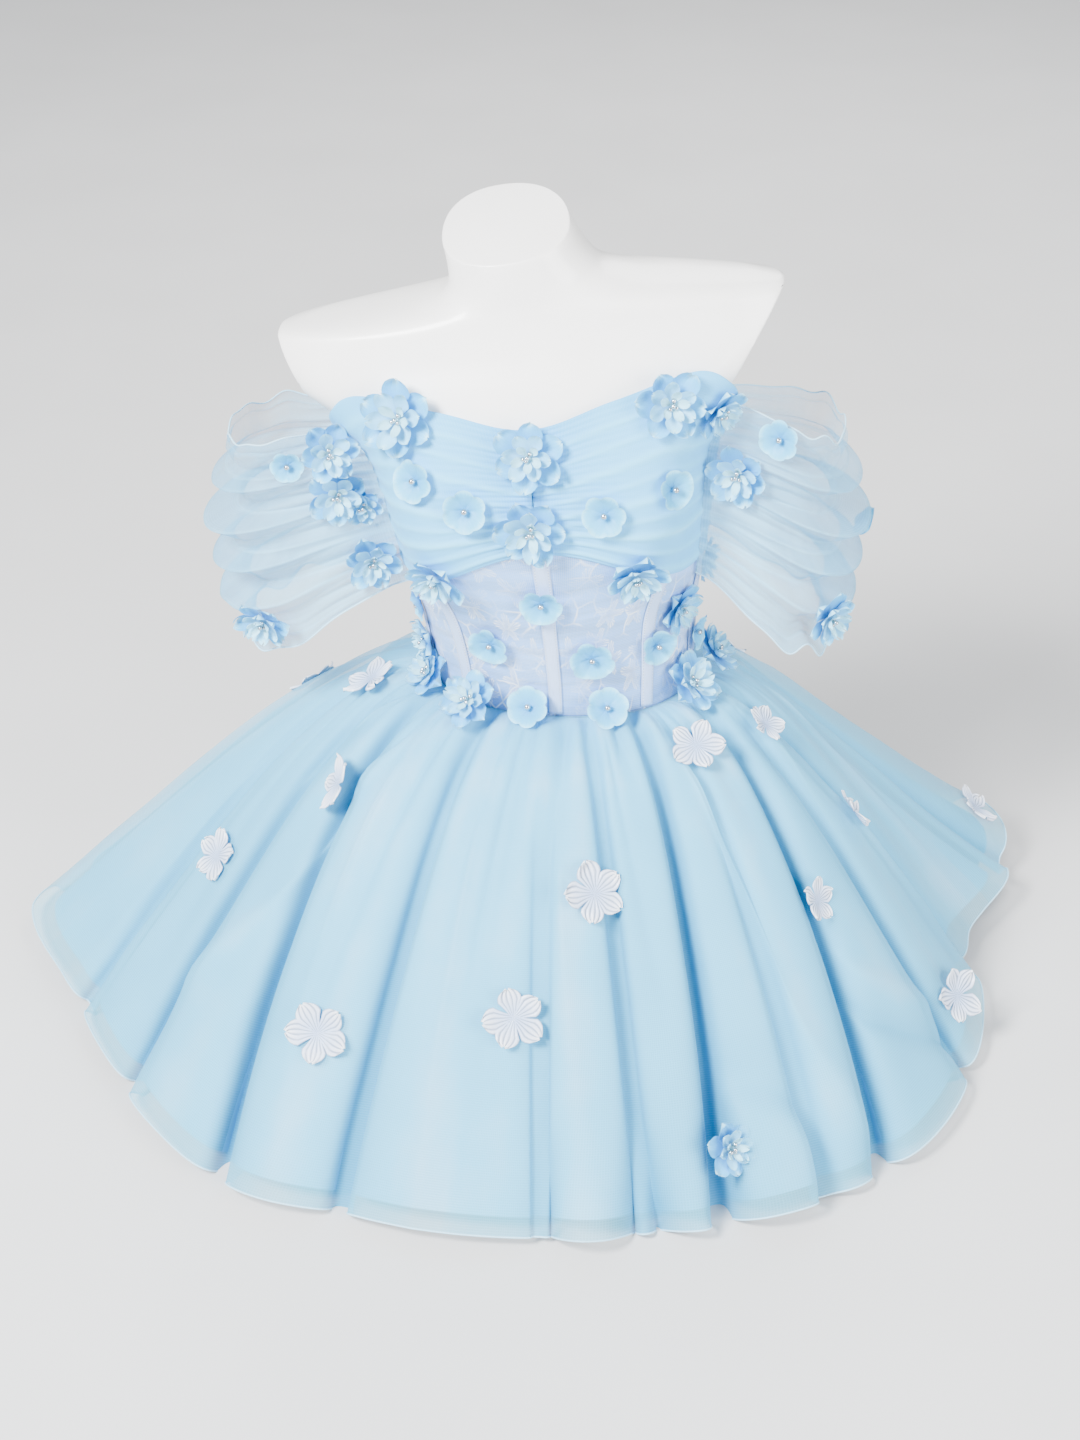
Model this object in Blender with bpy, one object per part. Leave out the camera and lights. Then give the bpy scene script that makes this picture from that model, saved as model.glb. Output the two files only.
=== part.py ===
"""Short off-the-shoulder party dress on a limbless display form.

Metres, +Z up. The origin is the middle of the form's flat foot, which stands on the surface. The form
leans a little towards -X from the waist up, and the bodice leans with it. An angle round the body is
measured from centre front (-Y) and grows towards +X; a height is measured up from the waist seam.
"""

import math
from collections import namedtuple

import bmesh
import bpy
from mathutils import Matrix, Vector
from mathutils.bvhtree import BVHTree

WAIST_Z = 0.315  # the waist seam above the surface that the form stands on
CLOTH = 0.0015  # thickness of a bodice panel, a bone channel and a skirt layer
NET = 0.0012  # thickness of the sleeves and of the draped bust cover
SKIN_GAP = 0.0022  # the bodice stands this far off the form
TOP_EASE = 0.0018  # the top edge stands this much further off
SEAM = 0.0003  # gap between neighbouring pieces
LAY = 0.0012  # gap under a narrow piece that lies on another
COVER_LAY = 0.0013  # gap under the draped bust cover

PANEL_OUTSIDE = SKIN_GAP + CLOTH
COVER_INSIDE = PANEL_OUTSIDE + COVER_LAY


def clear_scene():
    for obj in list(bpy.data.objects):
        bpy.data.objects.remove(obj)


def material(name, colour, roughness, metallic=0.0):
    made = bpy.data.materials.new(name)
    made.use_nodes = True
    shader = made.node_tree.nodes["Principled BSDF"]
    shader.inputs["Base Color"].default_value = (*colour, 1.0)
    shader.inputs["Roughness"].default_value = roughness
    shader.inputs["Metallic"].default_value = metallic
    return made


def between(rows, at, column, period=None):
    """A column's value between rows, on a smooth curve that doesn't overshoot them. Rows run by their first column."""
    if period:
        rows = [
            row._replace(**{row._fields[0]: row[0] + turn})
            for turn in (-period, 0, period)
            for row in rows
        ]
    places = [row[0] for row in rows]
    values = [getattr(row, column) for row in rows]
    at = min(max(at, places[0]), places[-1])
    i = max(k for k in range(len(rows) - 1) if places[k] <= at or k == 0)
    slopes = [(values[k + 1] - values[k]) / (places[k + 1] - places[k]) for k in range(len(rows) - 1)]

    def tangent(k):
        if k == 0 or k == len(rows) - 1 or slopes[k - 1] * slopes[k] <= 0:
            return 0.0
        return 2 * slopes[k - 1] * slopes[k] / (slopes[k - 1] + slopes[k])

    step = places[i + 1] - places[i]
    t = (at - places[i]) / step
    start, end = 1 - 3 * t * t + 2 * t**3, 3 * t * t - 2 * t**3
    leave, reach = t - 2 * t * t + t**3, t**3 - t * t
    return values[i] * start + values[i + 1] * end + step * (tangent(i) * leave + tangent(i + 1) * reach)


def mix(a, b, t):
    return a + (b - a) * t


def bump(x):
    """A smooth hill, 1 at 0 and next to nothing past 2."""
    return math.exp(-x * x)


# The display form: its horizontal sections, from the foot to the neck.
Section = namedtuple("Section", "height half_width front back")
FORM_SECTIONS = [
    Section(-0.315, 0.150, 0.104, 0.110),
    Section(-0.240, 0.158, 0.107, 0.118),
    Section(-0.160, 0.161, 0.105, 0.121),
    Section(-0.080, 0.140, 0.094, 0.102),
    Section(0.000, 0.108, 0.083, 0.081),
    Section(0.060, 0.112, 0.085, 0.085),
    Section(0.120, 0.122, 0.090, 0.089),
    Section(0.190, 0.131, 0.093, 0.093),
    Section(0.225, 0.139, 0.090, 0.094),
    Section(0.245, 0.150, 0.086, 0.092),
    Section(0.267, 0.174, 0.079, 0.087),
    Section(0.292, 0.202, 0.068, 0.078),
    Section(0.315, 0.214, 0.056, 0.066),
    Section(0.336, 0.205, 0.048, 0.058),
    Section(0.345, 0.145, 0.046, 0.056),
    Section(0.351, 0.092, 0.045, 0.055),
    Section(0.361, 0.063, 0.045, 0.053),
    Section(0.378, 0.052, 0.045, 0.050),
    Section(0.410, 0.046, 0.044, 0.048),
    Section(0.470, 0.043, 0.043, 0.047),
]
FORM_RINGS = [
    -0.315, -0.21, -0.13, -0.06, 0.0, 0.03, 0.06, 0.09, 0.12, 0.15, 0.18, 0.208, 0.230, 0.250, 0.270,
    0.287, 0.302, 0.316, 0.330, 0.340, 0.347, 0.354, 0.365, 0.385, 0.470,
]  # fmt: skip
FORM_COLUMNS = 32
SQUARENESS = 2.25  # 2 is an ellipse

# How far the form's middle is moved along X by its lean.
Lean = namedtuple("Lean", "height shift")
LEAN = [
    Lean(-0.20, 0.000),
    Lean(0.00, 0.000),
    Lean(0.10, -0.006),
    Lean(0.20, -0.015),
    Lean(0.33, -0.030),
    Lean(0.36, -0.035),
    Lean(0.42, -0.055),
    Lean(0.50, -0.080),
]

BUST_HEIGHT = 0.180
BUST_ANGLE = math.radians(33)
BUST_OUT = 0.027
BUST_SPREAD = math.radians(25)
BUST_ABOVE = 0.075
BUST_BELOW = 0.058

ARM_CUT_TIP = Vector((0.1995, 0, 0.330))  # the outer end of the shoulder, above the waist seam
ARM_CUT_SLOPE = math.radians(28)  # the arm's flat cut leans in below the tip
ARM_CUT_FOOT = 0.225  # it ends above this height, in the armpit
NECK_CUT_HEIGHT = 0.400
NECK_CUT_TILT = math.radians(19)  # the flat top of the neck slopes down to the front
NECK_CUT_ROLL = math.radians(10)


def rounded(part):
    return math.copysign(abs(part) ** (2 / SQUARENESS), part)


def lean_shift(height):
    return between(LEAN, height, "shift")


def leaned(x, y, height):
    """Where a point of the upright figure lies on the leaning one."""
    reach = 0.01
    slope = (lean_shift(height + reach) - lean_shift(height - reach)) / (2 * reach)
    return Vector((lean_shift(height) + x, y, WAIST_Z + height - x * slope))


def form_skin(angle, height):
    half_width = between(FORM_SECTIONS, height, "half_width")
    side, ahead = math.sin(angle), math.cos(angle)
    depth = between(FORM_SECTIONS, height, "front" if ahead > 0 else "back")
    x, y = half_width * rounded(side), -depth * rounded(ahead)
    spread = BUST_ABOVE if height > BUST_HEIGHT else BUST_BELOW
    for breast in (-BUST_ANGLE, BUST_ANGLE):
        away = (angle - breast + math.pi) % (2 * math.pi) - math.pi
        out = BUST_OUT * bump(away / BUST_SPREAD) * bump((height - BUST_HEIGHT) / spread)
        x += out * math.sin(breast * 0.8)
        y -= out * math.cos(breast * 0.8)
    return leaned(x, y, height)


def form_point(angle, height, out=0.0):
    """A point at that distance outside the form's skin."""
    step, rise = 0.01, 0.002
    across = form_skin(angle + step, height) - form_skin(angle - step, height)
    up = form_skin(angle, height + rise) - form_skin(angle, height - rise)
    return form_skin(angle, height) + across.cross(up).normalized() * out


def finished(obj, finish, smooth=True):
    obj.data.materials.append(finish)
    if smooth:
        obj.data.shade_smooth()
    return obj


def linked(name, mesh_maker):
    """An object whose mesh is the bmesh that mesh_maker fills."""
    shape = bmesh.new()
    mesh_maker(shape)
    mesh = bpy.data.meshes.new(name)
    shape.to_mesh(mesh)
    shape.free()
    obj = bpy.data.objects.new(name, mesh)
    bpy.context.scene.collection.objects.link(obj)
    return obj


def wall(name, columns, rows, point, thickness, finish, turned=False):
    """A sheet of cloth of that thickness. point(across, up) gives its inner face, with both from 0 to 1.

    The wall grows to the side that faces you when across runs right and up runs up, or away from you if turned.
    """

    def make(shape):
        bmesh.ops.create_grid(shape, x_segments=columns, y_segments=rows, size=0.5)
        for vert in shape.verts:
            vert.co = point(vert.co.x + 0.5, vert.co.y + 0.5)
        if turned:
            bmesh.ops.reverse_faces(shape, faces=shape.faces)

    obj = linked(name, make)
    solid = obj.modifiers.new("thickness", "SOLIDIFY")
    solid.thickness = thickness
    solid.offset = 1
    return finished(obj, finish)


def make_form(finish):
    def make(shape):
        bmesh.ops.create_circle(shape, cap_ends=True, segments=FORM_COLUMNS, radius=1)
        # Each point keeps its angle and its height above the waist. An extruded point starts with those of its source.
        angle_of = shape.verts.layers.float.new("angle")
        height_of = shape.verts.layers.float.new("height")
        for vert in shape.verts:
            vert[angle_of] = math.atan2(vert.co.x, -vert.co.y)
        ring, edges = list(shape.verts), list(shape.edges)
        for height in FORM_RINGS:
            if height != FORM_RINGS[0]:
                made = bmesh.ops.extrude_edge_only(shape, edges=edges)["geom"]
                edges = [e for e in made if isinstance(e, bmesh.types.BMEdge)]
                ring = [v for v in made if isinstance(v, bmesh.types.BMVert)]
            for vert in ring:
                vert[height_of] = height
                vert.co = form_skin(vert[angle_of], height)
        bmesh.ops.holes_fill(shape, edges=edges)
        for side in (-1, 1):
            tip = leaned(side * ARM_CUT_TIP.x, 0, ARM_CUT_TIP.z)
            outward = Vector((side * math.cos(ARM_CUT_SLOPE), 0, -math.sin(ARM_CUT_SLOPE)))
            high = [f for f in shape.faces if all(v[height_of] > ARM_CUT_FOOT for v in f.verts)]
            cut_flat(shape, high, tip, outward)
        neck = leaned(0, -0.004, NECK_CUT_HEIGHT)
        tilt = Matrix.Rotation(-NECK_CUT_ROLL, 3, "Y") @ Matrix.Rotation(NECK_CUT_TILT, 3, "X")
        cut_flat(shape, shape.faces, neck, tilt @ Vector((0, 0, 1)))
        bmesh.ops.recalc_face_normals(shape, faces=shape.faces)

    obj = linked("dress_form", make)
    obj.data.shade_smooth()
    obj.data.set_sharp_from_angle(angle=math.radians(35))
    return finished(obj, finish, smooth=False)


def cut_flat(shape, faces, place, outward):
    """Cuts away what those faces hold past a plane, and closes the cut."""
    faces = list(faces)
    verts = list({v for f in faces for v in f.verts})
    edges = list({e for f in faces for e in f.edges})
    bmesh.ops.bisect_plane(
        shape, geom=verts + edges + faces, plane_co=place, plane_no=outward, clear_outer=True, dist=1e-5
    )
    bmesh.ops.holes_fill(shape, edges=[e for e in shape.edges if e.is_boundary])


# The bodice: its top edge and its panels.
Edge = namedtuple("Edge", "angle height")
NECKLINE = [
    Edge(-180, 0.225),
    Edge(-120, 0.228),
    Edge(-92, 0.236),
    Edge(-70, 0.258),
    Edge(-52, 0.280),
    Edge(-38, 0.292),
    Edge(-18, 0.279),
    Edge(0, 0.264),
    Edge(18, 0.279),
    Edge(38, 0.292),
    Edge(52, 0.280),
    Edge(70, 0.258),
    Edge(92, 0.236),
    Edge(120, 0.228),
    Edge(180, 0.225),
]
COVER_LOW_FRONT = 0.166  # the draped bust cover's lower edge at centre front
COVER_LOW_SIDE = 0.124

# Seams run from the waist to the top edge, and move outwards over the bust.
Seam = namedtuple("Seam", "name waist top")
SEAMS = [
    Seam("centre_front", 0, 0),
    Seam("front", 40, 53),
    Seam("side", 74, 88),
    Seam("back", 132, 136),
    Seam("centre_back", 180, 180),
]
BODICE_ROWS = 11
PANEL_NAMES = ["centre_front", "side_front", "side_back", "centre_back"]


def neckline(angle):
    return between(NECKLINE, math.degrees(angle), "height")


def cover_low(angle):
    """The lower edge of the draped bust cover."""
    turn = min(abs(math.degrees(angle)) / 62, 1)
    return mix(COVER_LOW_FRONT, COVER_LOW_SIDE, turn * turn * (3 - 2 * turn))


def seam_angle(seam, height):
    """A seam's angle at a height. It swings outwards from just under the bust."""
    t = min(max((height - 0.08) / 0.16, 0), 1)
    return math.radians(mix(seam.waist, seam.top, t * t * (3 - 2 * t)))


def make_bodice(finish):
    for side, hand in ((-1, "left"), (1, "right")):
        for name, inner, outer in zip(PANEL_NAMES, SEAMS, SEAMS[1:]):

            def point(across, up, side=side, inner=inner, outer=outer):
                height = 0.0
                for _ in range(4):  # the top edge's height depends on the angle, and the seam's angle on the height
                    gap = SEAM / 2 / 0.11
                    start, end = seam_angle(inner, height) + gap, seam_angle(outer, height) - gap
                    angle = side * mix(start, end, across)
                    height = neckline(angle) * up
                return form_point(angle, height, SKIN_GAP + TOP_EASE * up**4)

            columns = 5 if "front" in name else 3
            wall(f"bodice_{name}_{hand}", columns, BODICE_ROWS, point, CLOTH, finish, turned=side < 0)


Ruche = namedtuple("Ruche", "up width depth")
RUCHES = [Ruche(0.10, 0.07, 0.0022), Ruche(0.30, 0.08, 0.0016), Ruche(0.52, 0.09, 0.0018), Ruche(0.78, 0.08, 0.0016)]


def make_bust_cover(finish):
    """Net pulled across the bust from each side seam, in soft ruches that meet at centre front."""
    for side, hand in ((-1, "left"), (1, "right")):

        def point(across, up, side=side):
            inner, outer = (SEAMS[0], SEAMS[1]) if across < 0.5 else (SEAMS[1], SEAMS[2])
            height = 0.2
            for _ in range(4):
                start = seam_angle(inner, height) + (SEAM / 2 / 0.11 if across < 0.5 else 0)
                angle = side * mix(start, seam_angle(outer, height), 2 * across - (across >= 0.5))
                height = mix(cover_low(angle), neckline(angle) + 0.001, up)
            ruche = sum(r.depth * bump((up - r.up) / r.width) for r in RUCHES)
            out = COVER_INSIDE + ruche * (1 - 0.5 * across) + TOP_EASE * (up**4 + across**4)
            return form_point(angle, height, out)

        wall(f"bust_cover_{hand}", 10, 8, point, NET, finish, turned=side < 0)


BONE_WIDTH = 0.012
BONE_FOOT = 0.0040  # the bones stop just above the skirt's gathers
Bone = namedtuple("Bone", "name seam side")
BONES = [
    Bone("bone_centre", SEAMS[0], 1),
    Bone("bone_front_left", SEAMS[1], -1),
    Bone("bone_front_right", SEAMS[1], 1),
    Bone("bone_side_left", SEAMS[2], -1),
    Bone("bone_side_right", SEAMS[2], 1),
]


def make_bones(finish):
    """Channels that hold the corset's bones, stitched over its seams up to the bust cover."""
    for bone in BONES:

        def point(across, up, bone=bone):
            top = cover_low(seam_angle(bone.seam, 0.15)) - 0.004
            height = mix(BONE_FOOT, top, up)
            centre = math.copysign(seam_angle(bone.seam, height), bone.side)
            angle = centre + (across - 0.5) * BONE_WIDTH / 0.105
            return form_point(angle, height, PANEL_OUTSIDE + LAY)

        wall(bone.name, 1, 8, point, CLOTH, finish)


def make_back_zip(finish):
    """The flap over the concealed zip at centre back."""

    def point(across, up):
        angle = math.pi + (across - 0.5) * 0.010 / 0.085
        out = PANEL_OUTSIDE + LAY + TOP_EASE * up**4
        return form_point(angle, mix(BONE_FOOT, neckline(math.pi) - 0.001, up), out)

    wall("back_zip_flap", 1, 8, point, NET, finish)


# The skirt: the hem's radius and rise round the body, and its troughs.
Hem = namedtuple("Hem", "angle radius rise sag")
HEM = [
    Hem(-180, 0.385, 0.000, 1.0),
    Hem(-140, 0.400, 0.000, 1.0),
    Hem(-112, 0.442, 0.000, 0.7),
    Hem(-91, 0.506, 0.000, 0.0),
    Hem(-75, 0.454, 0.000, 0.0),
    Hem(-56, 0.434, 0.000, 0.0),
    Hem(-38, 0.432, 0.000, 0.0),
    Hem(-19, 0.400, 0.000, 0.0),
    Hem(5, 0.388, 0.000, 0.0),
    Hem(30, 0.398, 0.000, 0.0),
    Hem(47, 0.412, 0.000, 0.0),
    Hem(68, 0.400, 0.000, 0.0),
    Hem(83, 0.388, 0.004, 0.1),
    Hem(93, 0.374, 0.010, 0.3),
    Hem(104, 0.430, 0.024, 0.7),
    Hem(114, 0.452, 0.030, 0.9),
    Hem(140, 0.410, 0.000, 1.2),
]
HEM_DROP = 0.302  # the hem's lowest parts below the waist seam
PUFF_OUT, PUFF_UP = 0.069, 0.024  # how the skirt springs from the waist seam

# Each trough is a valley between two big folds: where it is at the waist and at the hem, how wide and deep it is
# at the hem, and how far down the skirt it starts.
Trough = namedtuple("Trough", "waist hem width depth start")
TROUGHS = [
    Trough(-174, -170, 5.0, 0.026, 0.0),
    Trough(-160, -155, 6.0, 0.034, 0.0),
    Trough(-145, -139, 5.0, 0.028, 0.1),
    Trough(-130, -124, 6.0, 0.036, 0.0),
    Trough(-115, -108, 5.0, 0.028, 0.1),
    Trough(-99, -96, 4.5, 0.018, 0.2),
    Trough(-84, -73, 4.0, 0.018, 0.1),
    Trough(-70, -57, 4.5, 0.028, 0.1),
    Trough(-57, -38, 4.0, 0.036, 0.0),
    Trough(-24, -23, 4.0, 0.026, 0.0),
    Trough(-2, 2, 3.5, 0.012, 0.3),
    Trough(10, 15, 3.5, 0.022, 0.0),
    Trough(29, 25, 3.5, 0.040, 0.0),
    Trough(41, 37, 3.5, 0.016, 0.2),
    Trough(62, 47, 4.0, 0.036, 0.0),
    Trough(68, 67, 4.0, 0.026, 0.2),
    Trough(74, 88, 4.5, 0.036, 0.1),
    Trough(104, 107, 4.5, 0.020, 0.2),
    Trough(120, 124, 6.0, 0.034, 0.1),
    Trough(136, 140, 5.0, 0.028, 0.0),
    Trough(151, 155, 6.0, 0.034, 0.1),
    Trough(166, 172, 5.0, 0.026, 0.0),
]
GATHERS = 40  # small gathers at the waist seam
GATHER_DEPTH = 0.0022


def skirt_point(angle, down, inset=0.0, fullness=1.0):
    """A point of the skirt's inner face, with down from 0 at the waist seam to 1 at the hem.

    A layer that hangs inside has an inset, and its folds are that part of the skirt's own.
    """
    waist = form_point(angle, -0.0002, PANEL_OUTSIDE + SEAM + 0.0006)
    degrees = math.degrees(angle)
    radius = between(HEM, degrees, "radius", period=360)
    drop = HEM_DROP - between(HEM, degrees, "rise", period=360)
    outward = Vector((math.sin(angle), -math.cos(angle), 0))
    up = Vector((0, 0, 1))
    reach = radius - waist.xy.length
    hem = outward * radius + up * (WAIST_Z - drop)
    sag = between(HEM, degrees, "sag", period=360)
    spring = waist + outward * PUFF_OUT + up * PUFF_UP * (1 - 1.4 * sag)
    fall = waist + outward * (mix(0.57, 0.50, sag) * reach) - up * (mix(0.42, 0.55, sag) * drop)
    a, b, c, d = (1 - down) ** 3, 3 * down * (1 - down) ** 2, 3 * down**2 * (1 - down), down**3
    middle = waist * a + spring * b + fall * c + hem * d
    slope = (spring - waist) * (1 - down) ** 2 + (fall - spring) * 2 * down * (1 - down) + (hem - fall) * down**2
    out = (outward * -slope.z + up * slope.dot(outward)).normalized()
    troughs = sum(trough_depth(trough, degrees, down) for trough in TROUGHS)
    gather = GATHER_DEPTH * math.sin(math.radians(degrees * GATHERS)) * min(down * 8, 1) * (1 - down) ** 3
    sink = (troughs + gather) * fullness + inset * down**0.5
    return middle - out * sink


def trough_depth(trough, degrees, down):
    grown = min(max((down - trough.start) / (1 - trough.start), 0), 1)
    centre = mix(trough.waist, trough.hem, down)
    away = (degrees - centre + 180) % 360 - 180
    return trough.depth * grown**0.7 * bump(away / mix(trough.width * 0.8, trough.width, down))


Gore = namedtuple("Gore", "name start end columns")
GORES = [
    Gore("skirt_front", -83, 98, 84),
    Gore("skirt_back_right", 98, 180, 26),
    Gore("skirt_back_left", -180, -83, 30),
]
SKIRT_ROWS = 8
UNDERSKIRT_INSET = 0.028  # the underskirt hangs this far inside the skirt's crests
UNDERSKIRT_FULLNESS = 0.4
UNDERSKIRT_TOP = 0.14  # how far down the skirt it starts and ends
UNDERSKIRT_END = 0.94


def gore_angle(gore, across):
    gap = math.degrees(SEAM / 2 / 0.4)
    degrees = mix(gore.start + gap, gore.end - gap, across)
    return math.radians((degrees + 180) % 360 - 180)


def make_skirt(finish):
    for gore in GORES:

        def point(across, down, gore=gore):
            return skirt_point(gore_angle(gore, across), down**1.25)

        wall(gore.name, gore.columns, SKIRT_ROWS, point, CLOTH, finish, turned=True)


def make_underskirt(finish):
    for gore in (Gore("underskirt_front", -83, 98, 40), Gore("underskirt_back", 98, 277, 32)):

        def point(across, down, gore=gore):
            along = mix(UNDERSKIRT_TOP, UNDERSKIRT_END, down)
            return skirt_point(gore_angle(gore, across), along, UNDERSKIRT_INSET, UNDERSKIRT_FULLNESS)

        wall(gore.name, gore.columns, 5, point, NET, finish, turned=True)


# The sleeves: a wide band of net from the front of the armhole, round outside the arm, to the back.
SLEEVE_FRONT = math.radians(67)  # where the band is sewn to the bodice
SLEEVE_BACK = math.radians(122)
SLEEVE_SEWN = (0.112, 0.250)  # lowest and highest sewn point, above the waist seam
SLEEVE_RIM = (0.042, 0.238)  # the band's two edges at its outermost
SLEEVE_ROLL = 0.010  # the left sleeve hangs this much lower, and the right one higher
SLEEVE_SAG = 0.015  # the lower edge bows down this far between the seam and the rim
SLEEVE_MIDDLE = -0.026
SLEEVE_REACH = 0.252
SLEEVE_BELLY = 0.018
SLEEVE_DEPTH = 0.058
Pleat = namedtuple("Pleat", "up width depth")
SLEEVE_PLEATS = [
    Pleat(0.10, 0.050, 0.012),
    Pleat(0.29, 0.055, 0.016),
    Pleat(0.46, 0.050, 0.014),
    Pleat(0.68, 0.060, 0.018),
    Pleat(0.86, 0.045, 0.009),
]


def sleeve_point(side, along, up):
    """A point of the sleeve's inner face: along runs from the front of the armhole to the back, up from the cuff to the top."""
    turn = math.pi * along
    sewn = mix(*SLEEVE_SEWN, up)
    clear = COVER_INSIDE + NET + 0.0021 + TOP_EASE * up**4
    front = form_point(side * SLEEVE_FRONT, sewn, clear)
    back = form_point(side * SLEEVE_BACK, sewn - 0.03 * up, clear)
    swing = (1 - math.cos(turn)) / 2
    start = mix(front, back, swing)
    out = math.sin(turn)
    belly = SLEEVE_BELLY * math.sin(math.pi * up)
    pleat = sum(p.depth * bump((up - p.up) / p.width) for p in SLEEVE_PLEATS) * min(out * 1.2, 1)
    rim_x = SLEEVE_MIDDLE + side * (SLEEVE_REACH + belly - pleat)
    rim_z = WAIST_Z + mix(*SLEEVE_RIM, up) + side * SLEEVE_ROLL - 0.012 * (1 - math.cos(turn)) * up
    x = mix(start.x, rim_x, out**0.7)
    z = mix(start.z, rim_z, out) - SLEEVE_SAG * (1 - up) ** 3 * math.sin(math.pi * out) * 1.4
    y = start.y - (SLEEVE_DEPTH - pleat) * math.cos(turn) * out
    return Vector((x, y, z))


def make_sleeves(finish):
    for side, hand in ((-1, "left"), (1, "right")):
        wall(
            f"sleeve_{hand}",
            18,
            14,
            lambda along, up, side=side: sleeve_point(side, along, up),
            NET,
            finish,
            turned=side < 0,
        )


# The flowers. A kind's rings run from the middle of its underside, round the petals' tips, to the middle of its
# upper face. Radius and height are parts of the flower's radius.
Ring = namedtuple("Ring", "radius height")
Kind = namedtuple("Kind", "petals samples notch rings")
KINDS = {
    "layered": Kind(
        5, 2, 0.20,
        [Ring(0, 0), Ring(0.5, 0.05), Ring(1, 0.30), Ring(0.95, 0.37), Ring(0.55, 0.20), Ring(0.5, 0.52), Ring(0, 0.22)],
    ),
    "cupped": Kind(5, 2, 0.16, [Ring(0, 0), Ring(0.55, 0.08), Ring(1, 0.46), Ring(0.94, 0.52), Ring(0.45, 0.16), Ring(0, 0.10)]),
    "satin": Kind(5, 4, 0.42, [Ring(0, 0), Ring(0.5, 0.04), Ring(1, 0.13), Ring(0.97, 0.18), Ring(0.5, 0.13), Ring(0, 0.05)]),
}
FLOWER_CLEARANCE = 0.0006

# Where each flower is sewn on. On the bodice and the waist: an angle and a height (mm). On the skirt: an angle
# and how far down it is. On a sleeve: how far along and how far up the band it is.
Flower = namedtuple("Flower", "name kind span host across up turn")
FLOWERS = [
    Flower("neck_left", "layered", 0.056, "bodice", -29, 266, 10),
    Flower("neck_left_side", "layered", 0.044, "sleeve_left", 0.10, 0.88, 40),
    Flower("neck_centre", "layered", 0.050, "bodice", 0, 241, 0),
    Flower("bust_centre", "layered", 0.052, "bodice", -1, 190, 30),
    Flower("under_bust_left", "layered", 0.046, "bodice", -33, 150, 15),
    Flower("under_bust_right", "layered", 0.046, "bodice", 29, 146, 50),
    Flower("neck_right", "layered", 0.050, "bodice", 31, 266, 25),
    Flower("neck_right_side", "layered", 0.038, "bodice", 53, 254, 5),
    Flower("armhole_left", "layered", 0.044, "sleeve_left", 0.07, 0.16, 20),
    Flower("side_right", "layered", 0.038, "bodice", 58, 84, 35),
    Flower("waist_left", "layered", 0.044, "waist", -32, 4, 0),
    Flower("waist_right", "layered", 0.046, "waist", 60, 4, 45),
    Flower("sleeve_left_front", "layered", 0.048, "sleeve_left", 0.08, 0.58, 0),
    Flower("sleeve_left_hem", "layered", 0.042, "sleeve_left", 0.24, 0.15, 30),
    Flower("sleeve_right_front", "layered", 0.046, "sleeve_right", 0.08, 0.62, 15),
    Flower("sleeve_right_hem", "layered", 0.042, "sleeve_right", 0.29, 0.19, 50),
    Flower("cup_bust_left", "cupped", 0.036, "bodice", -35, 225, 20),
    Flower("cup_bust_mid_left", "cupped", 0.036, "bodice", -18, 205, 0),
    Flower("cup_bust_mid_right", "cupped", 0.036, "bodice", 19, 201, 40),
    Flower("cup_bust_right", "cupped", 0.034, "bodice", 43, 208, 10),
    Flower("cup_centre", "cupped", 0.036, "bodice", -1, 118, 30),
    Flower("cup_left", "cupped", 0.036, "bodice", -23, 72, 0),
    Flower("cup_right", "cupped", 0.038, "bodice", 14, 57, 20),
    Flower("cup_side_right", "cupped", 0.034, "bodice", 44, 58, 0),
    Flower("cup_waist_left", "cupped", 0.036, "waist", -9, 4, 10),
    Flower("cup_waist_right", "cupped", 0.036, "waist", 19, 4, 45),
    Flower("cup_sleeve_right", "cupped", 0.034, "sleeve_right", 0.20, 0.90, 0),
    Flower("satin_1", "satin", 0.048, "skirt", -77, 0.22, 10),
    Flower("satin_2", "satin", 0.046, "skirt", -51, 0.40, 50),
    Flower("satin_3", "satin", 0.046, "skirt", -69, 0.68, 20),
    Flower("satin_4", "satin", 0.052, "skirt", 9, 0.52, 0),
    Flower("satin_5", "satin", 0.052, "skirt", -31, 0.78, 30),
    Flower("satin_6", "satin", 0.052, "skirt", -5, 0.71, 15),
    Flower("satin_7", "satin", 0.046, "skirt", 43, 0.24, 40),
    Flower("satin_8", "satin", 0.048, "skirt", 73, 0.89, 0),
    Flower("satin_9", "satin", 0.044, "skirt", 113, 0.93, 25),
]


def host_point(host, across, up, out=0.0):
    """A point of the piece that a flower is sewn to, and that far outside it along the form's normal."""
    if host == "skirt":
        return skirt_point(math.radians(across), up)
    if host.startswith("sleeve"):
        return sleeve_point(-1 if host == "sleeve_left" else 1, across, up)
    return form_point(math.radians(across), up / 1000, PANEL_OUTSIDE)


def flower_frame(flower):
    """The flower's place on its piece, with its third axis pointing away from the piece."""
    across_step, up_step = (0.04, 0.05) if flower.host.startswith("sleeve") else (4, 0.05)
    if flower.host in ("bodice", "waist"):
        up_step = 8
    here = host_point(flower.host, flower.across, flower.up)
    across = host_point(flower.host, flower.across + across_step, flower.up) - host_point(
        flower.host, flower.across - across_step, flower.up
    )
    up = host_point(flower.host, flower.across, flower.up + up_step) - host_point(
        flower.host, flower.across, flower.up - up_step
    )
    out = across.cross(up).normalized()
    if flower.host in ("skirt", "sleeve_left"):
        out.negate()
    if flower.host == "waist":
        out = (out + Vector((0, 0, 0.9))).normalized()
    side = Vector((0, 0, 1)).cross(out).normalized()
    frame = Matrix((side, out.cross(side), out)).transposed() @ Matrix.Rotation(math.radians(flower.turn), 3, "Z")
    return here, frame


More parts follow.
